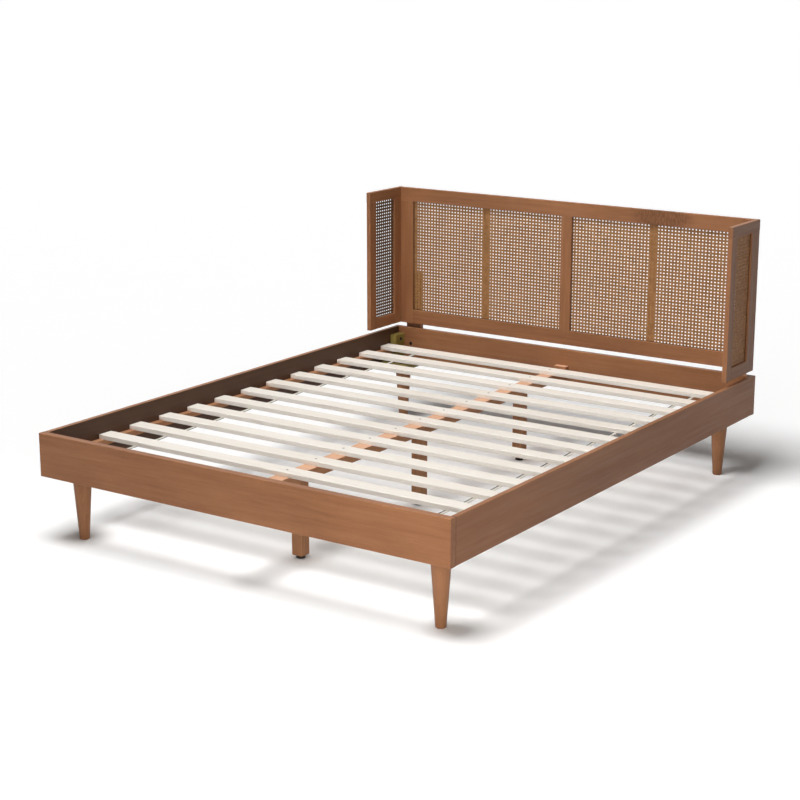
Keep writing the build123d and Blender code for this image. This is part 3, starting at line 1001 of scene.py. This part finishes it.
@dataclass
class Corners:
    """Tapered legs, leg plates, corner blocks and their bolts."""

    block_bolt: Fastener = field(
        default_factory=lambda: Fastener(6.5 * MM, 3.0 * MM, 3.0 * MM, 40.0 * MM, 2.4 * MM, 2.0 * MM)
    )
    end_bolt_shank: float = 70.0 * MM
    nut_chamfer_share: float = 0.12
    side_bolt_drop: float = 20.0 * MM
    block_width: float = 30.0 * MM
    block_depth: float = 60.0 * MM
    nut_radius: float = 7.5 * MM
    nut_height: float = 6.5 * MM
    washer_radius: float = 10.0 * MM
    washer_height: float = 1.5 * MM
    stud_radius: float = 4.0 * MM
    stud_tail: float = 6.0 * MM
    stud_bite: float = 67.0 * MM
    thread_depth: float = 0.5 * MM
    thread_pitch: float = 1.25 * MM

    def dress(self) -> None:
        """Give legs, plates and blocks their wood."""
        for end in ("front", "back"):
            for side in Side:
                dress_board(f"leg_{end}_{side.label}", WALNUT_LEGS, Grain.ALONG_Z, squared=False)
        dress_board("leg_plates", BLOCK_WOOD, Grain.ALONG_X, squared=False, tones=(PLATE_TOP,))
        dress_board("corner_blocks", BLOCK_WOOD, Grain.ALONG_Z, squared=False)

    def corners(self) -> Iterator[tuple[int, int, float]]:
        """Go round the corners.

        Returns:
            Sign on X, sign on Y and end face on Y of each corner.
        """
        foot_face = node_box("foot_rail")[1].y
        head_face = node_box("head_rail")[0].y
        for side in Side:
            yield side.sign, -1, foot_face
            yield side.sign, 1, head_face

    def build_block_bolts(self) -> None:
        """Model the two bolts of each corner block."""
        low, high = node_box("corner_blocks")
        plate_top = node_box("leg_plates")[1].z
        ledge_underside = node_box("slat_ledge_left")[0].z
        side_places = []
        end_places = []
        for side, toward_head, end_face in self.corners():
            face = side * (high.x - self.block_width)
            middle = end_face - toward_head * self.block_depth / 2
            side_places.append(pointing((face, middle, high.z - self.side_bolt_drop), (-side, 0.0, 0.0)))
            across = side * (high.x - self.block_width / 2)
            front = end_face - toward_head * self.block_depth
            height = (plate_top + ledge_underside) / 2
            end_places.append(pointing((across, front, height), (0.0, -toward_head, 0.0)))
        bm = copied(self.block_bolt.build(), side_places)
        longer = replace(self.block_bolt, shank_length=self.end_bolt_shank)
        join(bm, copied(longer.build(), end_places))
        as_piece("corner_block_bolts", bm, BLACK_STEEL.material(), ("corner_bolts",))

    def build_hanger_bolts(self) -> None:
        """Model the threaded bolt, washer and nut above each leg."""
        plate_top = node_box("leg_plates")[1].z
        bm = bmesh.new()
        stack_rings(bm, ((self.washer_radius, 0.0), (self.washer_radius, self.washer_height)), 24)
        chamfer = self.nut_chamfer_share * self.nut_height
        nut_top = self.washer_height + self.nut_height
        stack_rings(bm, (
            (self.nut_radius, self.washer_height),
            (self.nut_radius, nut_top - chamfer),
            (self.nut_radius - chamfer, nut_top),
        ), 6)
        root = self.stud_radius - self.thread_depth
        rings = [(root, -self.stud_bite), (root, nut_top)]
        for turn in range(int(self.stud_tail / self.thread_pitch)):
            base = nut_top + turn * self.thread_pitch
            rings.append((self.stud_radius, base + 0.5 * self.thread_pitch))
            rings.append((root, base + self.thread_pitch))
        stack_rings(bm, rings, 16)
        places = []
        for end in ("front", "back"):
            for side in Side:
                middle = centre_of(f"leg_{end}_{side.label}")
                places.append(Matrix.Translation((middle.x, middle.y, plate_top)))
        as_piece("leg_hanger_bolts", copied(bm, places), BLACK_STEEL.material(), ("leg_bolts",))

    def build(self) -> None:
        """Model the corner hardware and dress the wood."""
        self.dress()
        self.build_block_bolts()
        self.build_hanger_bolts()


@dataclass
class CentreSupport:
    """Beam under the slats, its end blocks, square posts and levelling feet."""

    posts: tuple[str, ...] = ("foot", "middle", "head")
    disc_radius: float = 16.0 * MM
    disc_height: float = 7.0 * MM
    neck_radius: float = 7.0 * MM
    neck_height: float = 12.0 * MM
    stud_radius: float = 4.0 * MM
    stud_top: float = 42.0 * MM
    ease: float = 1.6 * MM

    def dress(self) -> None:
        """Give the beam, blocks and posts their wood."""
        # The beam and its end blocks get a painted highlight on their top faces.
        dress_board("centre_beam", SUPPORT_WOOD, Grain.ALONG_Y, tones=(TOP_PAINTED_HIGHLIGHT,))
        for end in ("foot", "head"):
            dress_board(f"beam_block_{end}", SUPPORT_WOOD, Grain.ALONG_X, tones=(TOP_PAINTED_HIGHLIGHT,))
        for post in self.posts:
            dress_board(f"centre_leg_{post}", SUPPORT_WOOD, Grain.ALONG_Z)

    def build(self) -> None:
        """Model the levelling feet and dress the wood."""
        self.dress()
        bm = bmesh.new()
        stack_rings(bm, (
            (self.disc_radius - self.ease, 0.0),
            (self.disc_radius, self.ease),
            (self.disc_radius, self.disc_height - 2.0 * self.ease),
            (self.disc_radius - self.ease, self.disc_height - self.ease),
            (self.neck_radius + self.ease, self.disc_height),
        ), 32)
        stack_rings(bm, (
            (self.neck_radius, self.disc_height - self.ease),
            (self.neck_radius, self.neck_height),
        ), 6)
        stack_rings(bm, (
            (self.stud_radius, self.neck_height - self.ease),
            (self.stud_radius, self.stud_top),
        ), 16)
        middles = [centre_of(f"centre_leg_{post}") for post in self.posts]
        feet = copied(bm, [Matrix.Translation((middle.x, middle.y, 0.0)) for middle in middles])
        as_piece("post_levelling_feet", feet, BLACK_PLASTIC.material(), ("levelling_feet",))


# Slatted deck


@dataclass
class SlattedDeck:
    """Twelve slats, a screw in each, and the two ribbons that space them."""

    count: int = 12
    screw_radius: float = 4.1 * MM
    screw_cone: float = 2.4 * MM
    screw_shank: float = 2.0 * MM
    screw_length: float = 38.0 * MM
    recess_arm: float = 0.75 * MM
    recess_depth: float = 1.4 * MM
    ribbon_width: float = 16.0 * MM
    ribbon_thickness: float = 1.2 * MM
    ribbon_sag: float = 1.8 * MM
    ribbon_steps: int = 6
    staple_width: float = 10.0 * MM
    staple_wire: float = 0.7 * MM
    staple_ease_share: float = 0.2
    staple_shares: tuple[float, float] = (0.3, 0.7)

    def slats(self) -> list[str]:
        """Names of the slats, from the foot to the head."""
        return [f"slat_{number:02d}" for number in range(1, self.count + 1)]

    def dress(self) -> None:
        """Give the slats their wood."""
        for slat in self.slats():
            dress_board(slat, SLAT_WOOD, Grain.ALONG_X)

    def build_screws(self) -> None:
        """Model a countersunk screw with a cross recess and set one in each slat."""
        bm = bmesh.new()
        arm = self.recess_arm
        bmesh.ops.create_grid(bm, x_segments=3, y_segments=3, size=1.5 * arm)
        cross = [face for face in bm.faces if min(map(abs, face.calc_center_median()[:2])) < arm / 2]
        outline = [edge for edge in bm.edges if edge.is_boundary]
        pushed = bmesh.ops.extrude_face_region(bm, geom=cross)
        bmesh.ops.delete(bm, geom=cross, context="FACES_ONLY")
        sunk = [part for part in pushed["geom"] if isinstance(part, bmesh.types.BMVert)]
        bmesh.ops.translate(bm, verts=sunk, vec=(0.0, 0.0, -self.recess_depth))
        rim = circle(bm, self.screw_radius, 0.0, 24)
        bmesh.ops.bridge_loops(bm, edges=outline + rim)
        cone = circle(bm, self.screw_shank, -self.screw_cone, 24)
        bmesh.ops.bridge_loops(bm, edges=rim + cone)
        tip = circle(bm, self.screw_shank, -self.screw_length, 24, True)
        bmesh.ops.bridge_loops(bm, edges=cone + tip)
        tops = [(0.0, centre_of(slat).y, node_box(slat)[1].z) for slat in self.slats()]
        places = [Matrix.Translation(top) for top in tops]
        as_piece("deck_screws", copied(bm, places), ZINC_STEEL.material(), ("slat_screws",))

    def build_ribbon(self, side: Side) -> None:
        """Model one ribbon, flat under each slat and slack between two.

        Args:
            side: Half of the bed.
        """
        node = f"slat_strap_{side.label}"
        low, high = node_box(node)
        middle = centre_of(node).x
        spans = [node_box(slat) for slat in self.slats()]
        stops = [(low.y, 0.0)]
        for place, (near, far) in enumerate(spans):
            stops += [(near.y, 0.0), (far.y, 0.0)]
            if place + 1 < len(spans):
                gap = spans[place + 1][0].y - far.y
                for step in range(1, self.ribbon_steps):
                    share = step / self.ribbon_steps
                    stops.append((far.y + share * gap, 4.0 * share * (1.0 - share) * self.ribbon_sag))
        stops.append((high.y, 0.0))
        bm = bmesh.new()
        half = self.ribbon_width / 2
        places = [middle + across * half for across in (-1.0, -0.5, 0.0, 0.5, 1.0)]
        start = [bm.verts.new((place, low.y, high.z)) for place in places]
        edges = [bm.edges.new(pair) for pair in zip(start, start[1:])]
        for (before, sag), (after, next_sag) in zip(stops, stops[1:]):
            edges = draw_out(bm, edges, (0.0, after - before, sag - next_sag))
        bmesh.ops.recalc_face_normals(bm, faces=bm.faces)
        if sum(face.normal.z for face in bm.faces) < 0.0:
            bmesh.ops.reverse_faces(bm, faces=bm.faces)
        bmesh.ops.solidify(bm, geom=bm.faces[:], thickness=self.ribbon_thickness)
        bmesh.ops.recalc_face_normals(bm, faces=bm.faces)
        material = RIBBONS[side].material(side.label, middle, self.ribbon_width)
        as_piece(f"deck_ribbon_{side.label}", bm, material, (node,))

    def build_staples(self) -> None:
        """Model the staples that hold the ribbons to the slats' undersides."""
        bm = bmesh.new()
        size = Matrix.Diagonal((self.staple_width, self.staple_wire, self.staple_wire, 1.0))
        bmesh.ops.create_cube(bm, size=1.0, matrix=size)
        bmesh.ops.bevel(
            bm, geom=bm.edges[:], offset=self.staple_ease_share * self.staple_wire, segments=1, profile=0.5,
            affect="EDGES", material=-1,
        )
        places = []
        for side in Side:
            strap = f"slat_strap_{side.label}"
            middle, underside = centre_of(strap).x, node_box(strap)[0].z
            for slat in self.slats():
                near, far = node_box(slat)
                for share in self.staple_shares:
                    along = near.y + share * (far.y - near.y)
                    places.append(Matrix.Translation((middle, along, underside - self.staple_wire / 2)))
        as_piece("ribbon_staples", copied(bm, places), ZINC_STEEL.material())

    def build(self) -> None:
        """Model the screws, ribbons and staples, and dress the slats."""
        self.dress()
        self.build_screws()
        for side in Side:
            self.build_ribbon(side)
        self.build_staples()


# Cane


@dataclass
class CaneWeave:
    """Sheet of woven cane: strands in pairs both ways, and one strand along each diagonal."""

    TINT = "strand_tint"

    column_pitch: float = 14.2 * MM
    row_pitch: float = 12.8 * MM
    pair_gap: float = 3.9 * MM
    strand_width: float = 3.9 * MM
    diagonal_width: float = 3.6 * MM
    strand_thickness: float = 0.5 * MM
    pair_wave: float = 0.32 * MM
    diagonal_wave: float = 0.70 * MM
    tint_middle: float = 0.5
    tint_spread: float = 0.12
    cut_tolerance: float = 1e-7

    def strand(self, knots: Sequence[tuple[float, float]], width: float) -> bmesh.types.BMesh:
        """Model one strand along +X, flat behind and crowned in front.

        Args:
            knots: Distance and height of each point that it passes.
            width: Its width.

        Returns:
            Its mesh.
        """
        bm = bmesh.new()
        start, level = knots[0]
        bmesh.ops.create_circle(bm, cap_ends=True, segments=3, radius=1.0)
        low = min(vert.co.y for vert in bm.verts)
        high = max(vert.co.y for vert in bm.verts)
        reach = max(vert.co.x for vert in bm.verts)
        flatten = self.strand_thickness / (high - low)
        stretch = Matrix.Diagonal((width / 2 / reach, flatten, 1.0, 1.0))
        sit = Matrix.Translation((0.0, -low * flatten - self.strand_thickness / 2, 0.0))
        stand = Matrix((
            (0.0, 0.0, 1.0, start), (1.0, 0.0, 0.0, 0.0), (0.0, 1.0, 0.0, level), (0.0, 0.0, 0.0, 1.0)
        ))
        bmesh.ops.transform(bm, matrix=stand @ sit @ stretch, verts=bm.verts)
        edges = bm.edges[:]
        for (before, height), (after, next_height) in zip(knots, knots[1:]):
            edges = draw_out(bm, edges, (after - before, 0.0, next_height - height))
        bmesh.ops.holes_fill(bm, edges=edges, sides=3)
        bmesh.ops.recalc_face_normals(bm, faces=bm.faces)
        return bm

    def lay(
        self,
        panel: bmesh.types.BMesh,
        strand: bmesh.types.BMesh,
        places: Sequence[Matrix],
        chance: random.Random,
    ) -> None:
        """Lay copies of a strand into a panel, each with its own tint.

        Args:
            panel: Mesh that collects the strands.
            strand: Strand to copy; it is freed.
            places: Transform of each copy.
            chance: Source of the tints.
        """
        template = bpy.data.meshes.new("strand")
        strand.to_mesh(template)
        strand.free()
        attribute = template.attributes.new(self.TINT, "FLOAT", "POINT")
        for place in places:
            copy = template.copy()
            copy.transform(place)
            tint = min(1.0, max(0.0, chance.gauss(self.tint_middle, self.tint_spread)))
            copy.attributes[self.TINT].data.foreach_set("value", [tint] * len(copy.vertices))
            panel.from_mesh(copy)
            bpy.data.meshes.remove(copy)
        bpy.data.meshes.remove(template)

    def pair_knots(
        self, length: float, crossings: int, pitch: float, phase: int, kinked: bool
    ) -> list[tuple[float, float]]:
        """Points that a strand of a pair passes, waving over one pair and under the next.

        Args:
            length: Length of the strand.
            crossings: Number of pairs that it crosses.
            pitch: Distance from one pair to the next.
            phase: 0 or 1, for over or under first.
            kinked: Whether it dips between the two strands of each pair that it crosses.

        Returns:
            Distance from its middle and height of each point.
        """
        points = [(-length / 2, 0.0)]
        for crossing in range(crossings):
            middle = (crossing - (crossings - 1) / 2) * pitch
            sign = 1.0 if (crossing + phase) % 2 == 0 else -1.0
            after = -sign if kinked else sign
            points.append((middle - self.pair_gap / 2, sign * self.pair_wave))
            points.append((middle + self.pair_gap / 2, after * self.pair_wave))
        points.append((length / 2, 0.0))
        return points

    def build(self, width: float, height: float, seed: int) -> bmesh.types.BMesh:
        """Weave a sheet on XY, centred on the origin, with its show side up.

        Args:
            width: Its size on X.
            height: Its size on Y.
            seed: Seed of the tints.

        Returns:
            Its mesh.
        """
        chance = random.Random(seed)
        panel = bmesh.new()
        columns = 2 * (int(width / self.column_pitch) // 2) + 1
        rows = 2 * (int(height / self.row_pitch) // 2) + 1
        half_gap = self.pair_gap / 2
        quarter_turn = Matrix.Rotation(math.pi / 2, 4, "Z")
        for offset, phase in ((-half_gap, 0), (half_gap, 1)):
            knots = self.pair_knots(height, rows, self.row_pitch, phase, False)
            uprights = self.strand(knots, self.strand_width)
            spots = [(column - (columns - 1) / 2) * self.column_pitch + offset for column in range(columns)]
            places = [Matrix.Translation((x, 0.0, 0.0)) @ quarter_turn for x in spots]
            self.lay(panel, uprights, places, chance)
        for phase in (0, 1):
            knots = self.pair_knots(width, columns, self.column_pitch, 1, True)
            level = self.strand(knots, self.strand_width)
            if phase:
                bmesh.ops.scale(level, verts=level.verts, vec=(-1.0, 1.0, 1.0))
                bmesh.ops.reverse_faces(level, faces=level.faces)
            spots = []
            for row in range(phase, rows, 2):
                middle = (row - (rows - 1) / 2) * self.row_pitch
                spots += [middle - half_gap, middle + half_gap]
            self.lay(panel, level, [Matrix.Translation((0.0, y, 0.0)) for y in spots], chance)
        self._lay_diagonals(panel, width, height, rows, chance)
        return panel

    def _lay_diagonals(
        self, panel: bmesh.types.BMesh, width: float, height: float, rows: int, chance: random.Random
    ) -> None:
        """Lay the diagonal strands both ways and trim them to the sheet.

        Args:
            panel: Mesh that collects the strands.
            width: Size of the sheet on X.
            height: Size of the sheet on Y.
            rows: Number of pairs that run across.
            chance: Source of the tints.
        """
        step = math.hypot(self.column_pitch, self.row_pitch) / 2
        slope = math.atan2(self.row_pitch, self.column_pitch)
        reach = rows + 3
        lines = int((width / 2 + height / 2 / math.tan(slope)) / self.column_pitch) + 2
        sheet = bmesh.new()
        for direction in (1, -1):
            knots = []
            for knot in range(-reach, reach + 1):
                sign = 1.0 if knot % 2 == 0 else -1.0
                knots.append((knot * step, direction * sign * self.diagonal_wave))
            strand = self.strand(knots, self.diagonal_width)
            turn = Matrix.Rotation(direction * slope, 4, "Z")
            places = []
            for line in range(-lines, lines):
                x = (line + 0.5) * self.column_pitch
                places.append(Matrix.Translation((x, 0.0, 0.0)) @ turn)
            self.lay(sheet, strand, places, chance)
        for direction, limit in (((1, 0, 0), width), ((0, 1, 0), height)):
            for sign in (1.0, -1.0):
                normal = Vector(direction) * sign
                cut = bmesh.ops.bisect_plane(
                    sheet, geom=sheet.verts[:] + sheet.edges[:] + sheet.faces[:], dist=self.cut_tolerance,
                    plane_co=normal * limit / 2, plane_no=normal, clear_outer=True,
                )
                ends = [part for part in cut["geom_cut"] if isinstance(part, bmesh.types.BMEdge)]
                bmesh.ops.holes_fill(sheet, edges=ends, sides=4)
        join(panel, sheet)

    def fit(self, node: str, piece: str, facing: float, seed: int, finish: CaneFinish) -> None:
        """Weave the sheet of a CAD panel and stand it up in its place.

        Args:
            node: CAD node of the panel.
            piece: Name of the woven piece.
            facing: Turn about Z from facing the foot.
            seed: Seed of the tints.
            finish: Its finish.
        """
        low, high = node_box(node)
        bm = self.build(max(high.x - low.x, high.y - low.y), high.z - low.z, seed)
        turn = Matrix.Rotation(facing, 4, "Z") @ Matrix.Rotation(math.pi / 2, 4, "X")
        bmesh.ops.transform(bm, matrix=Matrix.Translation((low + high) / 2) @ turn, verts=bm.verts)
        as_piece(piece, bm, finish.material(node), (node,))


# Headboard


@dataclass
class Headboard:
    """Framed back with two caned openings, its posts, battens and bolts."""

    weave: CaneWeave = field(default_factory=CaneWeave)
    bolt: Fastener = field(
        default_factory=lambda: Fastener(9.0 * MM, 4.0 * MM, 4.0 * MM, 34.0 * MM, 3.0 * MM, 2.5 * MM)
    )
    bolt_recess: float = 5.0 * MM
    rail_bolt_rise: float = 42.0 * MM
    rail_bolt_spacing: float = 40.0 * MM
    stile_bolt_rise: float = 29.0 * MM
    stile_bolt_drop: float = 36.0 * MM
    flange_radius: float = 7.0 * MM
    flange_height: float = 1.5 * MM
    flange_throat_share: float = 0.6
    flange_socket_share: float = 0.45
    cane_seed: int = 11
    figure: Blemish = Blemish((0.415, 1.03, 0.945), (0.150, 0.05, 0.050))

    def dress(self) -> None:
        """Give the members of the back their wood."""
        dress_board("headboard_top_rail", WALNUT_STAIN, Grain.ALONG_X, blemish=self.figure)
        dress_board("headboard_bottom_rail", WALNUT_STAIN, Grain.ALONG_X)
        dress_board("headboard_centre_stile", WALNUT_STAIN, Grain.ALONG_Z)
        for side in Side:
            dress_board(f"headboard_stile_{side.label}", WALNUT_STAIN, Grain.ALONG_Z)
            dress_board(f"headboard_mullion_{side.label}", WALNUT_STAIN, Grain.ALONG_Z, tones=(MULLION_FACE,))
            # Posts and battens get painted shade on their front faces.
            dress_board(f"headboard_post_{side.label}", SUPPORT_WOOD, Grain.ALONG_Z, tones=(POST_FRONT_PAINTED_SHADE,))
            dress_board(f"headboard_batten_{side.label}", SUPPORT_WOOD, Grain.ALONG_Z, tones=(POST_FRONT_PAINTED_SHADE,))

    def build_bolts(self) -> None:
        """Model the bolts in the posts and the flanges inside the head rail."""
        rail_low = node_box("head_rail")[0]
        stile_underside = node_box("headboard_stile_left")[0].z
        places = []
        flange_places = []
        for side in Side:
            low, high = node_box(f"headboard_post_{side.label}")
            stile_low, stile_high = node_box(f"headboard_stile_{side.label}")
            middle = (low.x + high.x) / 2
            shared = (max(low.x, stile_low.x) + min(high.x, stile_high.x)) / 2
            seat = high.y - self.bolt_recess
            lower = rail_low.z + self.rail_bolt_rise
            for height in (lower, lower + self.rail_bolt_spacing):
                places.append(pointing((middle, seat, height), (0.0, 1.0, 0.0)))
                flange_places.append(pointing((middle, rail_low.y, height), (0.0, -1.0, 0.0)))
            for height in (stile_underside + self.stile_bolt_rise, high.z - self.stile_bolt_drop):
                places.append(pointing((shared, seat, height), (0.0, 1.0, 0.0)))
        bolts = copied(self.bolt.build(), places)
        flange = Fastener(
            self.flange_radius, self.flange_height,
            self.flange_throat_share * self.flange_radius, 2.0 * self.flange_height,
            self.flange_socket_share * self.flange_radius, 0.8 * self.flange_height,
        )
        join(bolts, copied(flange.build(), flange_places))
        as_piece("headboard_post_bolts", bolts, BLACK_STEEL.material(), ("headboard_bolts",))

    def build(self) -> None:
        """Weave the cane, model the bolts and dress the wood."""
        self.dress()
        for side in Side:
            seed = self.cane_seed + side.sign
            self.weave.fit(f"back_cane_{side.label}", f"back_weave_{side.label}", 0.0, seed, CANE)
        self.build_bolts()


@dataclass
class Wings:
    """The two framed and caned wings at the ends of the headboard."""

    weave: CaneWeave = field(default_factory=CaneWeave)
    cane_seed: int = 31

    def dress(self) -> None:
        """Give the wings' members their wood."""
        for side in Side:
            for member, grain in (
                ("top_rail", Grain.ALONG_Y),
                ("bottom_rail", Grain.ALONG_Y),
                ("front_stile", Grain.ALONG_Z),
                ("back_stile", Grain.ALONG_Z),
            ):
                # The outer faces get painted shade.
                outside = WING_OUTSIDE_PAINTED_SHADE.facing(0, side.sign)
                dress_board(f"wing_{side.label}_{member}", WALNUT_STAIN, grain, tones=(outside,))

    def build(self) -> None:
        """Weave the cane of both wings and dress the wood."""
        self.dress()
        for side in Side:
            facing = -side.sign * math.pi / 2
            # The left wing's cane gets the darker copy, as painted shade.
            finish = PAINTED_SHADE_CANE if side is Side.LEFT else CANE
            node, piece = f"wing_{side.label}_cane", f"wing_{side.label}_weave"
            self.weave.fit(node, piece, facing, self.cane_seed + side.sign, finish)


# Studio


@dataclass
class Studio:
    """Pale floor, soft light from above and a fitted camera."""

    camera_place: tuple[float, float, float] = (3.491196, -5.218768, 1.991018)
    camera_yaw: float = math.radians(34.452325)
    camera_pitch: float = math.radians(14.341359)
    focal_pixels: float = 1824.929
    picture_pixels: float = 800.0
    sensor: float = 36.0
    floor_half: float = 40.0
    floor_colour: Colour = (0.99, 0.99, 0.99)
    floor_bounce: Colour = (0.62, 0.62, 0.62)
    open_level: float = 1.005
    sky_level: float = 0.055
    key_place: tuple[float, float, float] = (-0.35, -1.9, 7.5)
    key_radius: float = 1.9
    key_level: float = 0.95
    fill_place: tuple[float, float, float] = (1.7, -2.7, 0.8)
    fill_target: tuple[float, float, float] = (0.2, -1.0, 0.35)
    front_from: tuple[float, float, float] = (-0.05, -1.0, 0.40)
    front_level: float = 0.13
    front_spread: float = 1.0
    fill_power: float = 28.0
    fill_size: float = 1.2
    fill_colour: Colour = (1.0, 0.96, 0.92)

    def build_camera(self) -> None:
        """Place the camera."""
        data = bpy.data.cameras.new("camera")
        data.sensor_width = self.sensor
        data.lens = self.focal_pixels / self.picture_pixels * self.sensor
        data.clip_end = 200.0
        camera = bpy.data.objects.new("camera", data)
        camera.location = self.camera_place
        camera.rotation_euler = (math.pi / 2 - self.camera_pitch, 0.0, self.camera_yaw)
        bpy.context.scene.collection.objects.link(camera)
        bpy.context.scene.camera = camera

    def floor_lift(self, graph: Graph) -> Socket:
        """Glow that keeps the open floor white where the key light gets weaker.

        Args:
            graph: Graph of the floor's material.

        Returns:
            The glow's strength.
        """
        distance = graph.length(graph.vector("SUBTRACT", self.key_place, graph.place()))
        lit = graph.math("DIVIDE", self.key_level * self.key_place[2] * self.floor_colour[0], distance)
        even = self.sky_level + self.front_level * Vector(self.front_from).normalized().z
        missing = graph.math("SUBTRACT", self.open_level - even * self.floor_colour[0], lit)
        return graph.math("MAXIMUM", missing, 0.0)

    def build_floor(self) -> None:
        """Lay a pale floor that keeps the bed's shadow."""
        bm = bmesh.new()
        bmesh.ops.create_grid(bm, x_segments=1, y_segments=1, size=self.floor_half)
        mesh = bpy.data.meshes.new("studio_floor")
        bm.to_mesh(mesh)
        bm.free()
        floor = bpy.data.objects.new("studio_floor", mesh)
        bpy.context.scene.collection.objects.link(floor)
        graph = Graph("studio_floor")
        direct = graph.seen_directly()
        surface = graph.blend(direct, self.floor_bounce, self.floor_colour)
        diffuse = graph.node("BsdfDiffuse", {"Color": surface, "Roughness": 0.0})
        lift = graph.math("MULTIPLY", direct, self.floor_lift(graph))
        glow = graph.node("Emission", {"Color": (1.0, 1.0, 1.0), "Strength": lift})
        total = graph.node("AddShader", {0: diffuse.outputs[0], 1: glow.outputs[0]})
        dress(floor, graph.finish(total.outputs[0]))

    def build_sky(self) -> None:
        """Surround the set with an even light that looks white to the camera."""
        graph = Graph("studio", bpy.data.worlds.new("studio"))
        level = graph.node("MapRange", {0: graph.seen_directly(), 3: self.sky_level, 4: 1.0}).outputs[0]
        background = graph.node("Background", {"Color": (1.0, 1.0, 1.0), "Strength": level})
        bpy.context.scene.world = graph.finish(background.outputs[0])

    def hang(self, lamp: bpy.types.Light, place: Sequence[float], back: Sequence[float]) -> None:
        """Put a lamp in the set.

        Args:
            lamp: The lamp.
            place: Its place.
            back: Direction that its back points in.
        """
        obj = bpy.data.objects.new(lamp.name, lamp)
        obj.location = place
        obj.rotation_euler = Vector(back).to_track_quat("Z", "Y").to_euler()
        bpy.context.scene.collection.objects.link(obj)

    def build_lamps(self) -> None:
        """Hang the broad key light above, and set a wide front light and a fill light beside the foot."""
        key = bpy.data.lights.new("key", "POINT")
        key.energy = self.key_level * 4.0 * math.pi**2
        key.shadow_soft_size = self.key_radius
        key.use_nodes = True
        falloff = key.node_tree.nodes.new("ShaderNodeLightFalloff")
        falloff.inputs["Strength"].default_value = 1.0
        emitter = next(node for node in key.node_tree.nodes if node.bl_idname == "ShaderNodeEmission")
        key.node_tree.links.new(falloff.outputs["Constant"], emitter.inputs["Strength"])
        self.hang(key, self.key_place, (0.0, 0.0, 1.0))
        front = bpy.data.lights.new("front", "SUN")
        front.energy = self.front_level * math.pi
        front.angle = self.front_spread
        self.hang(front, (0.0, 0.0, 0.0), self.front_from)
        fill = bpy.data.lights.new("fill", "AREA")
        fill.energy = self.fill_power
        fill.size = self.fill_size
        fill.color = self.fill_colour
        self.hang(fill, self.fill_place, Vector(self.fill_place) - Vector(self.fill_target))

    def build(self) -> None:
        """Set up camera, floor, sky and lamps."""
        self.build_camera()
        self.build_floor()
        self.build_sky()
        self.build_lamps()
        bpy.context.scene.view_settings.view_transform = "Standard"


def main() -> None:
    """Build the studio and dress the whole bed."""
    logging.basicConfig(level=logging.INFO, format="%(name)s: %(message)s")
    Studio().build()
    RailFrame().dress()
    Corners().build()
    CentreSupport().build()
    SlattedDeck().build()
    Headboard().build()
    Wings().build()


if __name__ == "__main__":
    main()
